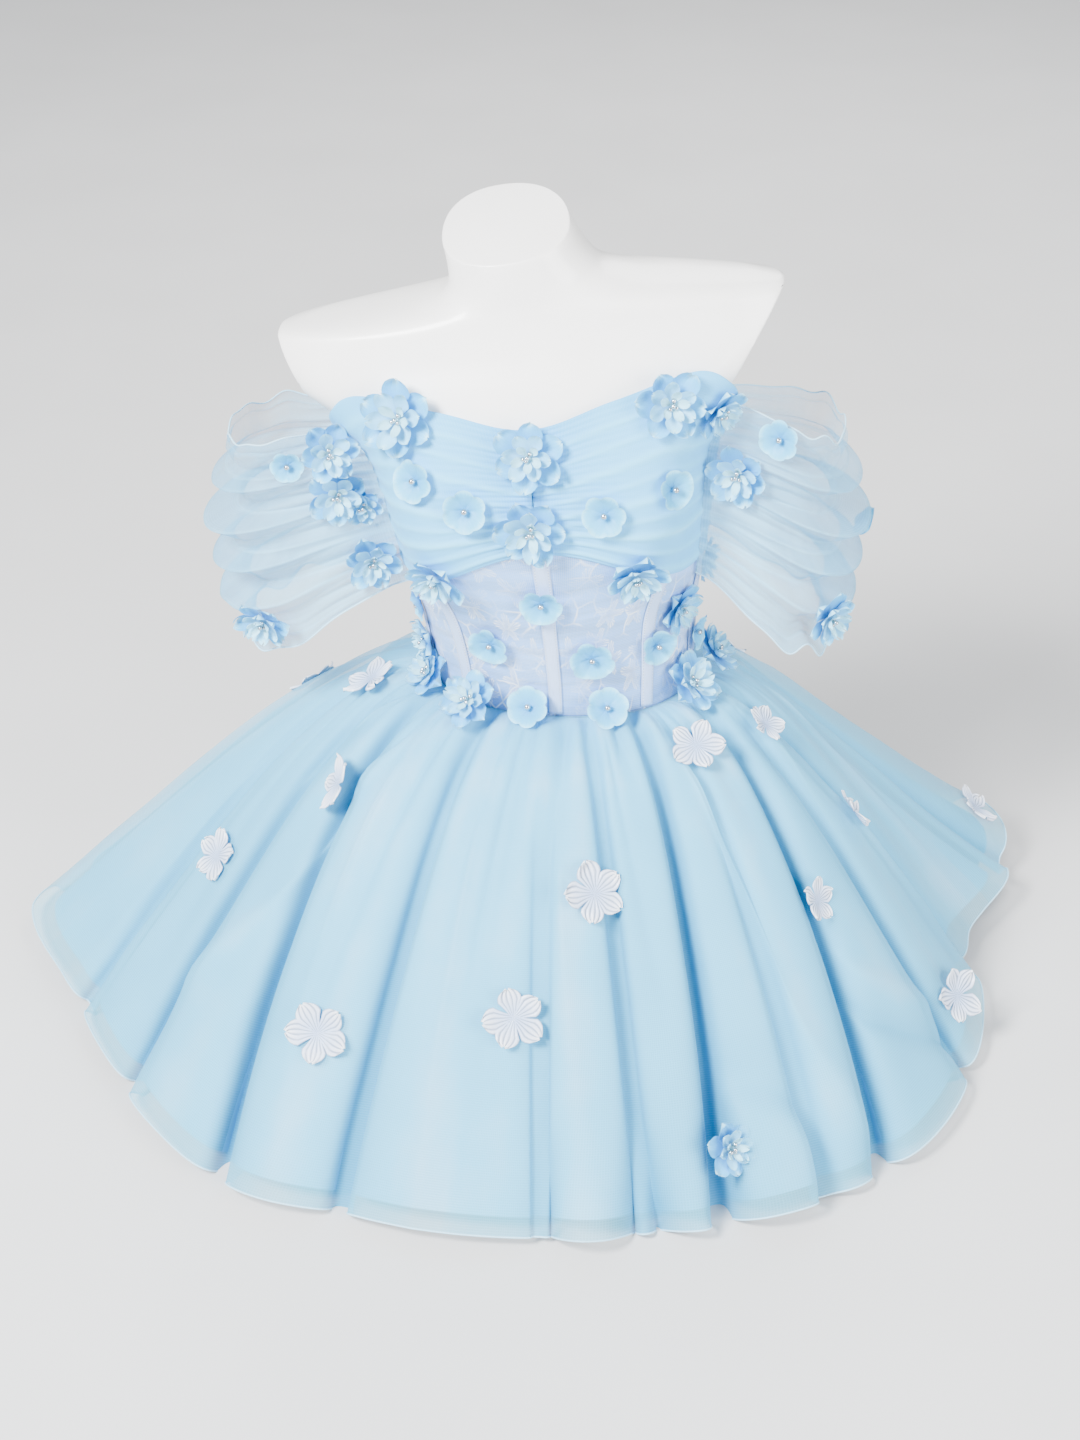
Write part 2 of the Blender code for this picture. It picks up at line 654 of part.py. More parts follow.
def make_flower_mesh(shape, kind, radius):
    count = kind.petals * kind.samples
    rims = []
    for ring in kind.rings[1:-1]:
        rim = []
        for i in range(count):
            turn = 2 * math.pi * i / count
            dip = kind.notch * (1 - abs(math.cos(kind.petals * turn / 2))) ** 1.5 * ring.radius
            reach = radius * (ring.radius - dip)
            rim.append(shape.verts.new((reach * math.sin(turn), reach * math.cos(turn), radius * ring.height)))
        rims.append(rim)
    for lower, upper in zip(rims, rims[1:]):
        for i in range(count):
            j = (i + 1) % count
            shape.faces.new((lower[i], lower[j], upper[j], upper[i]))
    for rim, ring in ((rims[0], kind.rings[0]), (rims[-1], kind.rings[-1])):
        middle = shape.verts.new((0, 0, radius * ring.height))
        for i in range(count):
            shape.faces.new((rim[i], rim[(i + 1) % count], middle))
    bmesh.ops.recalc_face_normals(shape, faces=shape.faces)


def tree_of(mesh):
    return BVHTree.FromPolygons([v.co for v in mesh.vertices], [p.vertices for p in mesh.polygons])


def make_flowers(finishes):
    bpy.context.view_layer.update()
    graph = bpy.context.evaluated_depsgraph_get()
    cloth = [BVHTree.FromObject(obj, graph) for obj in bpy.data.objects if obj.name != "dress_form"]
    high = 0.05
    for flower in FLOWERS:
        kind = KINDS[flower.kind]
        obj = linked(f"flower_{flower.name}", lambda shape: make_flower_mesh(shape, kind, flower.span / 2))
        here, frame = flower_frame(flower)
        out = frame.col[2]
        under = [v.co.copy() for v in obj.data.vertices]
        under += [(obj.data.vertices[a].co + obj.data.vertices[b].co) / 2 for a, b in obj.data.edge_keys]
        room = []
        for point in under:
            above = here + frame @ point + out * high
            for tree in cloth:
                hit = tree.ray_cast(above, -out, 2 * high)
                if hit[0]:
                    room.append(hit[3])
        place = here + out * (high - min(room) - 0.002)
        obj.data.transform(Matrix.Translation(place) @ frame.to_4x4())
        # Rays can miss a crest between them, so lift the flower until it touches nothing, and then a little more.
        while any(tree.overlap(tree_of(obj.data)) for tree in cloth):
            obj.data.transform(Matrix.Translation(out * 0.0002))
        obj.data.transform(Matrix.Translation(out * FLOWER_CLEARANCE))
        finished(obj, finishes[flower.kind])


clear_scene()
form_white = material("form_white", (0.90, 0.89, 0.87), 0.35)
satin_blue = material("satin_blue", (0.62, 0.72, 0.88), 0.45)
net_blue = material("net_blue", (0.52, 0.74, 0.90), 0.70)
skirt_blue = material("skirt_blue", (0.55, 0.78, 0.90), 0.75)
make_form(form_white)
make_bodice(satin_blue)
make_bust_cover(net_blue)
make_bones(satin_blue)
make_back_zip(satin_blue)
make_skirt(skirt_blue)
make_underskirt(skirt_blue)
make_sleeves(net_blue)
make_flowers(
    {
        "layered": material("flower_blue", (0.40, 0.66, 0.90), 0.50),
        "cupped": material("flower_light_blue", (0.50, 0.75, 0.93), 0.45),
        "satin": material("flower_white", (0.88, 0.89, 0.96), 0.30),
    }
)
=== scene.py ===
"""Short off-the-shoulder party dress on a limbless display form, finished over its CAD frame.

Metres, +Z up. The origin is the middle of the form's flat foot. An angle round the body is measured from centre
front (-Y) and grows towards +X; a height is measured up from the waist seam. Tables hold degrees and metres.
"""

import math
from collections import namedtuple

import bmesh
import bpy
import numpy as np
from mathutils import Matrix, Vector, noise
from mathutils.bvhtree import BVHTree


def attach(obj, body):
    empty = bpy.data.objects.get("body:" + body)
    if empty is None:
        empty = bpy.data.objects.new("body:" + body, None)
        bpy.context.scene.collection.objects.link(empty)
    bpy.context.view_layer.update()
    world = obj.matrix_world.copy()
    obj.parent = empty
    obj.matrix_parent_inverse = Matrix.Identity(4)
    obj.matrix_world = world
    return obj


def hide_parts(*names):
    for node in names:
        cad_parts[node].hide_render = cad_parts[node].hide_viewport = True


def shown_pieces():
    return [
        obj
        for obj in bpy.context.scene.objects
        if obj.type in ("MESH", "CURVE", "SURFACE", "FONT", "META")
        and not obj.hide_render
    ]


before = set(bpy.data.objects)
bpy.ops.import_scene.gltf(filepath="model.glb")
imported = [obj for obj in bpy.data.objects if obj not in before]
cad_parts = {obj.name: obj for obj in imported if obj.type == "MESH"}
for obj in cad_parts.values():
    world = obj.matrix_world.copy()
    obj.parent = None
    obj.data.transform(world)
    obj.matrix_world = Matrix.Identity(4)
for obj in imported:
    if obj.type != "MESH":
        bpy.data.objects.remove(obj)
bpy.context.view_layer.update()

# ---------------------------------------------------------------------------------------------------------------
# The display form: a limbless body moulded in one piece of glossy white plastic. The neck and the shoulders are
# cut flat with softly rounded rims, and it stands on its own flat foot.

WAIST_Z = 0.315  # the waist seam above the floor
# Heights above the waist seam. front and back are how deep the body is before and behind its middle.
Section = namedtuple("Section", "height half_width front back")
FORM_SECTIONS = [
    Section(-0.315, 0.150, 0.104, 0.110),
    Section(-0.240, 0.158, 0.107, 0.118),
    Section(-0.160, 0.161, 0.105, 0.121),
    Section(-0.080, 0.140, 0.094, 0.102),
    Section(0.000, 0.108, 0.083, 0.081),
    Section(0.060, 0.112, 0.085, 0.085),
    Section(0.120, 0.122, 0.090, 0.089),
    Section(0.190, 0.131, 0.093, 0.093),
    Section(0.225, 0.139, 0.090, 0.094),
    Section(0.245, 0.150, 0.086, 0.092),
    Section(0.267, 0.174, 0.079, 0.087),
    Section(0.292, 0.202, 0.068, 0.078),
    Section(0.315, 0.214, 0.056, 0.066),
    Section(0.336, 0.205, 0.048, 0.058),
    Section(0.345, 0.145, 0.046, 0.056),
    Section(0.351, 0.092, 0.045, 0.055),
    Section(0.361, 0.063, 0.045, 0.053),
    Section(0.378, 0.052, 0.045, 0.050),
    Section(0.410, 0.046, 0.044, 0.048),
    Section(0.470, 0.043, 0.043, 0.047),
]
SQUARENESS = 2.25  # of a horizontal section, where 2 is an ellipse
# The figure leans a little: how far its middle is moved along X at each height.
Lean = namedtuple("Lean", "height shift")
LEAN = [
    Lean(-0.20, 0.000),
    Lean(0.00, 0.000),
    Lean(0.10, -0.006),
    Lean(0.20, -0.015),
    Lean(0.33, -0.030),
    Lean(0.36, -0.035),
    Lean(0.42, -0.055),
    Lean(0.50, -0.080),
]
BUST_HEIGHT, BUST_ANGLE, BUST_OUT = 0.180, math.radians(33), 0.027
BUST_SPREAD, BUST_ABOVE, BUST_BELOW = math.radians(25), 0.075, 0.058
ARM_CUT_TIP_X, ARM_CUT_TIP_HEIGHT, ARM_CUT_SLOPE, ARM_CUT_FOOT = 0.1995, 0.330, math.radians(28), 0.225
NECK_CUT_HEIGHT, NECK_CUT_TILT, NECK_CUT_ROLL = 0.400, math.radians(19), math.radians(10)
RIM_ROUNDING = 0.0013
RIM_FOLD = math.radians(32)  # an edge that turns by more is a rim of a cut


def smooth_curve(rows, column, at, period=None):
    """A column's value at each place, on a smooth curve that doesn't overshoot. Rows run by their first column."""
    places = np.array([row[0] for row in rows], float)
    values = np.array([getattr(row, column) for row in rows], float)
    if period:
        places = np.concatenate([places + turn for turn in (-period, 0, period)])
        values = np.tile(values, 3)
    steps = np.diff(places)
    slopes = np.diff(values) / steps
    before, after = slopes[:-1], slopes[1:]
    steady = before * after > 0
    tangents = np.zeros(len(values))
    tangents[1:-1][steady] = 2 * (before * after)[steady] / (before + after)[steady]
    at = np.clip(at, places[0], places[-1])
    i = np.clip(np.searchsorted(places, at, side="right") - 1, 0, len(steps) - 1)
    t = (at - places[i]) / steps[i]
    start, end = 1 - 3 * t**2 + 2 * t**3, 3 * t**2 - 2 * t**3
    leave, reach = t - 2 * t**2 + t**3, t**3 - t**2
    ends = values[i] * start + values[i + 1] * end
    return ends + steps[i] * (tangents[i] * leave + tangents[i + 1] * reach)


def bump(x):
    """A smooth hill, 1 at 0 and next to nothing past 2."""
    return np.exp(-(x**2))


def rounded(part):
    return np.sign(part) * np.abs(part) ** (2 / SQUARENESS)


def leaned(x, y, height):
    """Where points of the upright figure lie on the leaning one."""
    shift = smooth_curve(LEAN, "shift", height)
    slope = (smooth_curve(LEAN, "shift", height + 0.01) - smooth_curve(LEAN, "shift", height - 0.01)) / 0.02
    return np.stack(np.broadcast_arrays(shift + x, y, WAIST_Z + height - x * slope), axis=-1)


def form_skin(angle, height):
    side, ahead = np.sin(angle), np.cos(angle)
    front, back = (smooth_curve(FORM_SECTIONS, column, height) for column in ("front", "back"))
    x = smooth_curve(FORM_SECTIONS, "half_width", height) * rounded(side)
    y = -np.where(ahead > 0, front, back) * rounded(ahead)
    spread = np.where(height > BUST_HEIGHT, BUST_ABOVE, BUST_BELOW)
    for breast in (-BUST_ANGLE, BUST_ANGLE):
        away = (angle - breast + math.pi) % (2 * math.pi) - math.pi
        out = BUST_OUT * bump(away / BUST_SPREAD) * bump((height - BUST_HEIGHT) / spread)
        x = x + out * math.sin(breast * 0.8)
        y = y - out * math.cos(breast * 0.8)
    return leaned(x, y, height)


def to_object(name, shape):
    """A smooth-shaded object in the scene from a finished bmesh."""
    mesh = bpy.data.meshes.new(name)
    shape.to_mesh(mesh)
    shape.free()
    mesh.shade_smooth()
    obj = bpy.data.objects.new(name, mesh)
    bpy.context.scene.collection.objects.link(obj)
    return obj


def surface(name, columns, rows, point, size=(1.0, 1.0), turned=False, **marks):
    """A fine sheet through point(across, up), both from 0 to 1, with its UV map in metres of the given size.

    Each mark is a function of across and up whose values are kept on the sheet's points under that name.
    """
    shape = bmesh.new()
    shape.loops.layers.uv.new("UVMap")
    bmesh.ops.create_grid(shape, x_segments=columns, y_segments=rows, size=0.5, calc_uvs=True)
    if turned:
        bmesh.ops.reverse_faces(shape, faces=shape.faces)
    obj = to_object(name, shape)
    mesh = obj.data
    grid = np.empty(len(mesh.vertices) * 3)
    mesh.vertices.foreach_get("co", grid)
    across, up = grid.reshape(-1, 3)[:, 0] + 0.5, grid.reshape(-1, 3)[:, 1] + 0.5
    mesh.vertices.foreach_set("co", point(across, up).astype(float).ravel())
    corner = np.empty(len(mesh.loops), int)
    mesh.loops.foreach_get("vertex_index", corner)
    flat = np.stack([across[corner] * size[0], up[corner] * size[1]], axis=-1)
    mesh.uv_layers[0].data.foreach_set("uv", flat.ravel())
    for mark, values in marks.items():
        kept = mesh.attributes.new(mark, "FLOAT", "POINT")
        kept.data.foreach_set("value", np.broadcast_to(values(across, up), across.shape).astype(float))
    mesh.update()
    return obj


def add_piece(obj, material, stands_for=None, thickness=0.0):
    """Gives a piece its look and slot on the one body, the solid that it is shown for, and its cloth's thickness."""
    if thickness:
        thick = obj.modifiers.new("cloth", "SOLIDIFY")
        thick.thickness, thick.offset = thickness, 1
    obj.data.materials.append(material)
    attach(obj, "root")
    if stands_for:
        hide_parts(stands_for)


def node(material, kind, sockets=None, **settings):
    """A shader node with those settings, and each socket set or linked."""
    made = material.node_tree.nodes.new("ShaderNode" + kind)
    for name, value in settings.items():
        setattr(made, name, value)
    for name, value in (sockets or {}).items():
        if isinstance(value, bpy.types.NodeSocket):
            material.node_tree.links.new(value, made.inputs[name])
        else:
            made.inputs[name].default_value = value
    return made


def cloudy(material, where, scale, detail=2.0, roughness=0.5):
    sockets = {"Vector": where, "Scale": scale, "Detail": detail, "Roughness": roughness}
    return node(material, "TexNoise", sockets).outputs["Fac"]


def ramp(material, value, *stops):
    """A colour ramp with (place, grey) or (place, colour) stops."""
    made = node(material, "ValToRGB", {"Fac": value})
    while len(made.color_ramp.elements) < len(stops):
        made.color_ramp.elements.new(0.5)
    for element, (place, colour) in zip(made.color_ramp.elements, stops):
        element.position = place
        element.color = (colour, colour, colour, 1) if isinstance(colour, (int, float)) else (*colour, 1)
    return made.outputs["Color"]


def new_material(name, roughness, sheen=0.0, coat=0.0, specular=0.5, sheen_tint=(1, 1, 1), metallic=0.0):
    """A Principled material with its constant finish on the shader's own sockets."""
    made = bpy.data.materials.new(name)
    made.use_nodes = True
    inputs = made.node_tree.nodes["Principled BSDF"].inputs
    inputs["Roughness"].default_value = roughness
    inputs["Metallic"].default_value = metallic
    inputs["Specular IOR Level"].default_value = specular
    inputs["Sheen Weight"].default_value = sheen
    inputs["Sheen Roughness"].default_value = 0.4
    inputs["Sheen Tint"].default_value = (*sheen_tint, 1)
    inputs["Coat Weight"].default_value = coat
    inputs["Coat Roughness"].default_value = 0.12
    return made


def into_shader(material, **sockets):
    """Links outputs to the Principled shader's sockets."""
    shader = material.node_tree.nodes["Principled BSDF"]
    for name, value in sockets.items():
        material.node_tree.links.new(value, shader.inputs[name.replace("_", " ")])


def bump_from(material, height, distance, strength=1.0):
    made = node(material, "Bump", {"Height": height, "Distance": distance, "Strength": strength})
    into_shader(material, Normal=made.outputs["Normal"])


def form_height(across, up):
    """The form's rows of points lie closer together round the bust and the shoulders."""
    return np.interp(up, [0, 0.28, 0.50, 0.58, 0.93, 1], [-0.315, 0.0, 0.15, 0.24, 0.375, 0.47])


def form_wall(across, up):
    return form_skin(2 * math.pi * across + math.pi, form_height(across, up))


form = surface("display_form", 128, 120, form_wall, height=form_height)
shape = bmesh.new()
shape.from_mesh(form.data)
bmesh.ops.remove_doubles(shape, verts=shape.verts, dist=1e-5)
height_of = shape.verts.layers.float["height"]
form_cuts = []
for side in (-1, 1):
    tip = Vector(leaned(side * ARM_CUT_TIP_X, 0.0, np.array(ARM_CUT_TIP_HEIGHT)))
    outward = Vector((side * math.cos(ARM_CUT_SLOPE), 0, -math.sin(ARM_CUT_SLOPE)))
    form_cuts.append(([f for f in shape.faces if all(v[height_of] > ARM_CUT_FOOT for v in f.verts)], tip, outward))
neck_turn = Matrix.Rotation(-NECK_CUT_ROLL, 3, "Y") @ Matrix.Rotation(NECK_CUT_TILT, 3, "X")
form_cuts.append((None, Vector(leaned(0.0, -0.004, np.array(NECK_CUT_HEIGHT))), neck_turn @ Vector((0, 0, 1))))
for faces, place, outward in form_cuts:
    faces = [f for f in (faces or shape.faces) if f.is_valid]
    verts, edges = {v for f in faces for v in f.verts}, {e for f in faces for e in f.edges}
    bmesh.ops.bisect_plane(
        shape, geom=[*verts, *edges, *faces], plane_co=place, plane_no=outward, clear_outer=True, dist=0.0004
    )
    rim = [e for e in shape.edges if e.is_boundary and all(v.co.z > 0.01 for v in e.verts)]
    bmesh.ops.remove_doubles(shape, verts=list({v for e in rim for v in e.verts}), dist=0.0015)
    for vert in {v for e in rim if e.is_valid for v in e.verts}:
        off = (vert.co - place).dot(outward)
        if abs(off) < 0.002:
            vert.co -= outward * off
    bmesh.ops.holes_fill(shape, edges=[e for e in shape.edges if e.is_boundary and e.verts[0].co.z > 0.01])
bmesh.ops.holes_fill(shape, edges=[e for e in shape.edges if e.is_boundary])
bmesh.ops.recalc_face_normals(shape, faces=shape.faces)
rims = [e for e in shape.edges if len(e.link_faces) == 2 and e.calc_face_angle() > RIM_FOLD]
bmesh.ops.bevel(
    shape, geom=rims, offset=RIM_ROUNDING, offset_type="OFFSET", segments=3, profile=0.5, affect="EDGES", material=-1
)
shape.to_mesh(form.data)
shape.free()
form.data.shade_smooth()
form.data.set_sharp_from_angle(angle=math.radians(50))

glossy_white = new_material("glossy_white_plastic", 0.34, coat=0.25)
on_form = node(glossy_white, "TexCoord").outputs["Object"]
patches = cloudy(glossy_white, on_form, 9.0, 3.0)
into_shader(
    glossy_white,
    Base_Color=ramp(glossy_white, patches, (0.35, (0.86, 0.85, 0.835)), (0.65, (0.90, 0.895, 0.885))),
    Roughness=ramp(glossy_white, patches, (0.3, 0.30), (0.7, 0.40)),
)
bump_from(glossy_white, cloudy(glossy_white, on_form, 260.0), 0.00012, 0.5)
add_piece(form, glossy_white, "dress_form")

# ---------------------------------------------------------------------------------------------------------------
# The corset: eight panels of pale lavender-blue satin under white floral lace, sewn edge to edge on the form's
# curve. The top edge stands a little off the form.

CLOTH = 0.0015  # a bodice panel and a bone channel
NET = 0.0012  # the sleeves and the draped bust cover
SKIN_GAP = 0.0022  # the bodice stands this far off the form
TOP_EASE = 0.0018  # and its top edge this much further
SEAM = 0.0003  # between neighbouring panels
LAY = 0.0012  # under the zip flap
COVER_LAY = 0.0013  # under the bust cover
PANEL_OUTSIDE = SKIN_GAP + CLOTH
COVER_INSIDE = PANEL_OUTSIDE + COVER_LAY
SIDES = ((-1, "left"), (1, "right"))
Edge = namedtuple("Edge", "angle height")
HALF_NECKLINE = [  # from centre front to centre back
    Edge(0, 0.264),
    Edge(18, 0.279),
    Edge(38, 0.292),
    Edge(52, 0.280),
    Edge(70, 0.258),
    Edge(92, 0.236),
    Edge(120, 0.228),
    Edge(180, 0.225),
]
NECKLINE = [Edge(-edge.angle, edge.height) for edge in HALF_NECKLINE[:0:-1]] + HALF_NECKLINE
COVER_LOW_FRONT, COVER_LOW_SIDE = 0.166, 0.124  # the draped cover's lower edge
SeamLine = namedtuple("SeamLine", "name waist top")
CENTRE_FRONT = SeamLine("centre_front", 0, 0)
FRONT = SeamLine("front", 40, 53)
SIDE = SeamLine("side", 74, 88)
BACK = SeamLine("back", 132, 136)
CENTRE_BACK = SeamLine("centre_back", 180, 180)
PANELS = [
    ("centre_front", CENTRE_FRONT, FRONT),
    ("side_front", FRONT, SIDE),
    ("side_back", SIDE, BACK),
    ("centre_back", BACK, CENTRE_BACK),
]


def mix(a, b, t):
    return a + (b - a) * t


def unit(vectors):
    return vectors / np.linalg.norm(vectors, axis=-1, keepdims=True)


def form_point(angle, height, out=0.0):
    """Points at that distance outside the form's skin."""
    angle, height, out = np.broadcast_arrays(angle, height, out)
    across = form_skin(angle + 0.01, height) - form_skin(angle - 0.01, height)
    up = form_skin(angle, height + 0.002) - form_skin(angle, height - 0.002)
    return form_skin(angle, height) + unit(np.cross(across, up)) * out[..., None]


def neckline(angle):
    return smooth_curve(NECKLINE, "height", np.degrees(angle))


def cover_low(angle):
    turn = np.minimum(np.abs(np.degrees(angle)) / 62, 1)
    return mix(COVER_LOW_FRONT, COVER_LOW_SIDE, turn * turn * (3 - 2 * turn))


def seam_angle(seam, height):
    """A seam's angle at a height. It swings outwards from just under the bust."""
    t = np.clip((height - 0.08) / 0.16, 0, 1)
    return np.radians(mix(seam.waist, seam.top, t * t * (3 - 2 * t)))


def calc(material, operation, *values):
    return node(material, "Math", dict(enumerate(values)), operation=operation).outputs[0]


def times(material, a, b):
    return calc(material, "MULTIPLY", a, b)


def vector_calc(material, operation, a, b):
    second = "Scale" if operation == "SCALE" else 1
    return node(material, "VectorMath", {0: a, second: b}, operation=operation).outputs[0]


def stretched(material, where, x, y):
    return node(material, "Mapping", {"Vector": where, "Scale": (x, y, 1.0)}).outputs["Vector"]


def from_cell_edge(material, where, scale, randomness=1.0):
    """How far each place is from the nearest edge between two cells."""
    sockets = {"Vector": where, "Scale": scale, "Randomness": randomness}
    settings = {"voronoi_dimensions": "2D", "feature": "DISTANCE_TO_EDGE"}
    return node(material, "TexVoronoi", sockets, **settings).outputs["Distance"]


def colour_mix(material, share, a, b):
    """From a to b by the share, on the Mix node's factor, its two colour sockets and its colour output."""
    return node(material, "Mix", {0: share, 6: a, 7: (*b, 1)}, data_type="RGBA").outputs[2]


def lace_over_satin(name, turn):
    """Satin with a fine net and white flower sprays on it, and painted bands of shine, on the panel's own UV map in
    metres.
    """
    made = new_material(name, 0.36, sheen=0.25, specular=0.55, sheen_tint=(0.9, 0.95, 1.0))
    on_cloth = node(made, "TexCoord").outputs["UV"]
    spread = node(made, "Mapping", {"Vector": on_cloth, "Rotation": (0, 0, turn)}).outputs["Vector"]
    drift = node(made, "TexNoise", {"Vector": spread, "Scale": 34.0}).outputs["Color"]
    drift = vector_calc(made, "SCALE", vector_calc(made, "SUBTRACT", drift, (0.5, 0.5, 0.5)), 0.011)
    bent = vector_calc(made, "ADD", spread, drift)
    # A flower in each cell: five petals round its point, feathered by fine spokes.
    sockets = {"Vector": bent, "Scale": LACE_FLOWERS, "Randomness": 0.85}
    cells = node(made, "TexVoronoi", sockets, voronoi_dimensions="2D").outputs
    here, centre = (vector_calc(made, "SCALE", place, LACE_FLOWERS) for place in (bent, cells["Position"]))
    away = node(made, "SeparateXYZ", {0: vector_calc(made, "SUBTRACT", here, centre)}).outputs
    round_it = calc(made, "ARCTAN2", away["Y"], away["X"])
    spin = times(made, node(made, "SeparateColor", {0: cells["Color"]}).outputs[0], 6.28)
    petals, spokes = (calc(made, "SINE", calc(made, "MULTIPLY_ADD", round_it, n, spin)) for n in (5.0, 34.0))
    inside = calc(made, "SUBTRACT", calc(made, "MULTIPLY_ADD", petals, 0.13, 0.36), cells["Distance"])
    petal = times(made, ramp(made, inside, (0.0, 0.0), (0.05, 1.0)), ramp(made, inside, (0.04, 1.0), (0.24, 0.45)))
    petal = times(made, petal, ramp(made, spokes, (0.2, 0.25), (0.8, 1.0)))
    # Stems and leaves wander between the flowers.
    stem = ramp(made, from_cell_edge(made, bent, 46.0), (0.0, 1.0), (0.07, 0.0))
    stem = times(made, stem, ramp(made, cloudy(made, spread, 22.0, 1.0), (0.44, 0.0), (0.56, 1.0)))
    shown = ramp(made, cloudy(made, spread, 13.0), (0.40, 0.15), (0.54, 1.0))
    lace = times(made, calc(made, "MAXIMUM", petal, stem), shown)
    # The net that carries the lace, and soft bands of shine across the body, painted into the satin's colour as
    # darker and lighter bands: painted highlight and painted shade.
    net = ramp(made, from_cell_edge(made, on_cloth, 620.0, 0.15), (0.05, 1.0), (0.22, 0.0))
    band = cloudy(made, stretched(made, on_cloth, 5.0, 62.0), 1.0, 3.0, 0.6)
    dim, bright = [tuple(c * k for c in SATIN) for k in (0.72, 1.16)]
    ground = colour_mix(made, times(made, net, 0.26), ramp(made, band, (0.36, dim), (0.62, bright)), LACE_THREAD)
    into_shader(
        made,
        Base_Color=colour_mix(made, times(made, lace, 0.95), ground, LACE_THREAD),
        Roughness=ramp(made, lace, (0.0, 0.33), (0.8, 0.75)),
    )
    bump_from(made, calc(made, "ADD", lace, times(made, net, 0.25)), 0.00035, 0.8)
    return made


SATIN, LACE_THREAD = (0.17, 0.41, 0.84), (0.93, 0.96, 1.0)
LACE_FLOWERS = 27.0  # how many lie along a metre
SEAM_TURN = SEAM / 2 / 0.11  # half a seam's gap as an angle
PANEL_CUTS = {  # width and length of each panel as cut, with its area
    "centre_front": (0.125, 0.305, 0.0300),
    "side_front": (0.085, 0.300, 0.0185),
    "side_back": (0.100, 0.275, 0.0225),
    "centre_back": (0.085, 0.250, 0.0185),
}
# A cut piece of cloth: its cloth, its flat width, length and area, how it is held, what it rests on, and its edges.
Cut = namedtuple("Cut", "cloth width length area held rests_on edges")
for side, hand in SIDES:
    for name, inner, outer in PANELS:

        def point(across, up, side=side, inner=inner, outer=outer):
            height = np.zeros_like(up)
            for _ in range(4):  # the top edge's height depends on the angle, and the seam's angle on the height
                start, end = seam_angle(inner, height) + SEAM_TURN, seam_angle(outer, height) - SEAM_TURN
                angle = side * mix(start, end, across)
                height = neckline(angle) * up
            return form_point(angle, height, SKIN_GAP + TOP_EASE * up**4)

        cut = PANEL_CUTS[name]
        panel = surface(f"corset_{name}_{hand}", 36, 90, point, (cut[0], 0.28), turned=side < 0)
        laced = lace_over_satin(f"laced_satin_{name}_{hand}", 0.7 * side)
        add_piece(panel, laced, f"bodice_{name}_{hand}", CLOTH)

# ---------------------------------------------------------------------------------------------------------------
# The bust cover: soft net, pulled across each cup from the side seam and caught at centre front under the
# flowers, so that it lies in long uneven ruches, with a painted highlight on their crests and painted shade between
# them.

Ruche = namedtuple("Ruche", "centre side width depth")  # where its crest meets centre front and the side seam
RUCHES = [
    Ruche(0.05, 0.04, 0.030, 0.0020),
    Ruche(0.12, 0.17, 0.026, 0.0016),
    Ruche(0.17, 0.33, 0.034, 0.0024),
    Ruche(0.24, 0.45, 0.024, 0.0013),
    Ruche(0.30, 0.60, 0.036, 0.0022),
    Ruche(0.41, 0.70, 0.026, 0.0012),
    Ruche(0.52, 0.81, 0.038, 0.0018),
    Ruche(0.68, 0.88, 0.030, 0.0013),
    Ruche(0.83, 0.95, 0.034, 0.0015),
]
NET_OVER_SATIN = (0.13, 0.62, 0.95)


def soft_net(name, pale, deep, roughness=0.62, alpha=1.0, veil=0.30, grain=0.35):
    """Fine net: a painted highlight on its crests, and its deep colour where the fold mark on its points is high,
    partly for denser net and partly as painted light, as each piece's fold mark tells.

    Below 1, alpha is how opaque the net is on a crest, and veil how much more so where it gathers.
    """
    made = new_material(name, roughness, sheen=0.18, specular=0.3, sheen_tint=(0.7, 0.9, 1.0))
    on_cloth = node(made, "TexCoord").outputs["UV"]
    fold_mark = node(made, "Attribute", attribute_name="fold").outputs["Fac"]
    thread = ramp(made, from_cell_edge(made, on_cloth, 900.0, 0.12), (0.06, 1.0), (0.24, 0.0))
    cloud = cloudy(made, on_cloth, 16.0, 4.0, 0.55)
    streak = cloudy(made, stretched(made, on_cloth, 30.0, 3.0), 1.0, 3.0)
    uneven = calc(made, "MULTIPLY_ADD", streak, 0.45, times(made, cloud, 0.45))
    fold_and_patches = calc(made, "ADD", fold_mark, calc(made, "SUBTRACT", uneven, 0.16))
    # lit is a painted highlight: the pale colour lightened, where the fold mark is low, as on crests. The net's threads
    # take it too.
    lit = tuple(mix(c, 0.97, 0.30) for c in pale)
    colour = ramp(made, fold_and_patches, (0.0, lit), (0.30, pale), (1.0, deep))
    into_shader(made, Base_Color=colour_mix(made, times(made, thread, grain), colour, lit))
    bump_from(made, thread, 0.0002, min(1.0, grain * 2))
    if alpha < 1:
        see_through = calc(made, "MULTIPLY_ADD", fold_and_patches, veil, alpha)
        into_shader(made, Alpha=calc(made, "MULTIPLY_ADD", thread, 0.10, see_through))
    return made


def ruching(across, up):
    """How far the ruches lift the cover."""
    total = np.zeros_like(up)
    for r in RUCHES:
        crest = mix(r.centre, r.side, np.sin(across * math.pi / 2) ** 1.1)
        total += r.depth * bump((up - crest) / mix(r.width * 0.55, r.width, across))
    return total


# The cover's fold mark: low on the ruches' crests, a painted highlight, and high between them, painted shade; higher
# still towards centre front, where the net is caught in gathers, partly denser net and partly painted shade.
def cover_fold(across, up):
    return 0.42 - 0.45 * ruching(across, up) / 0.0024 + 0.25 * bump(across / 0.15)


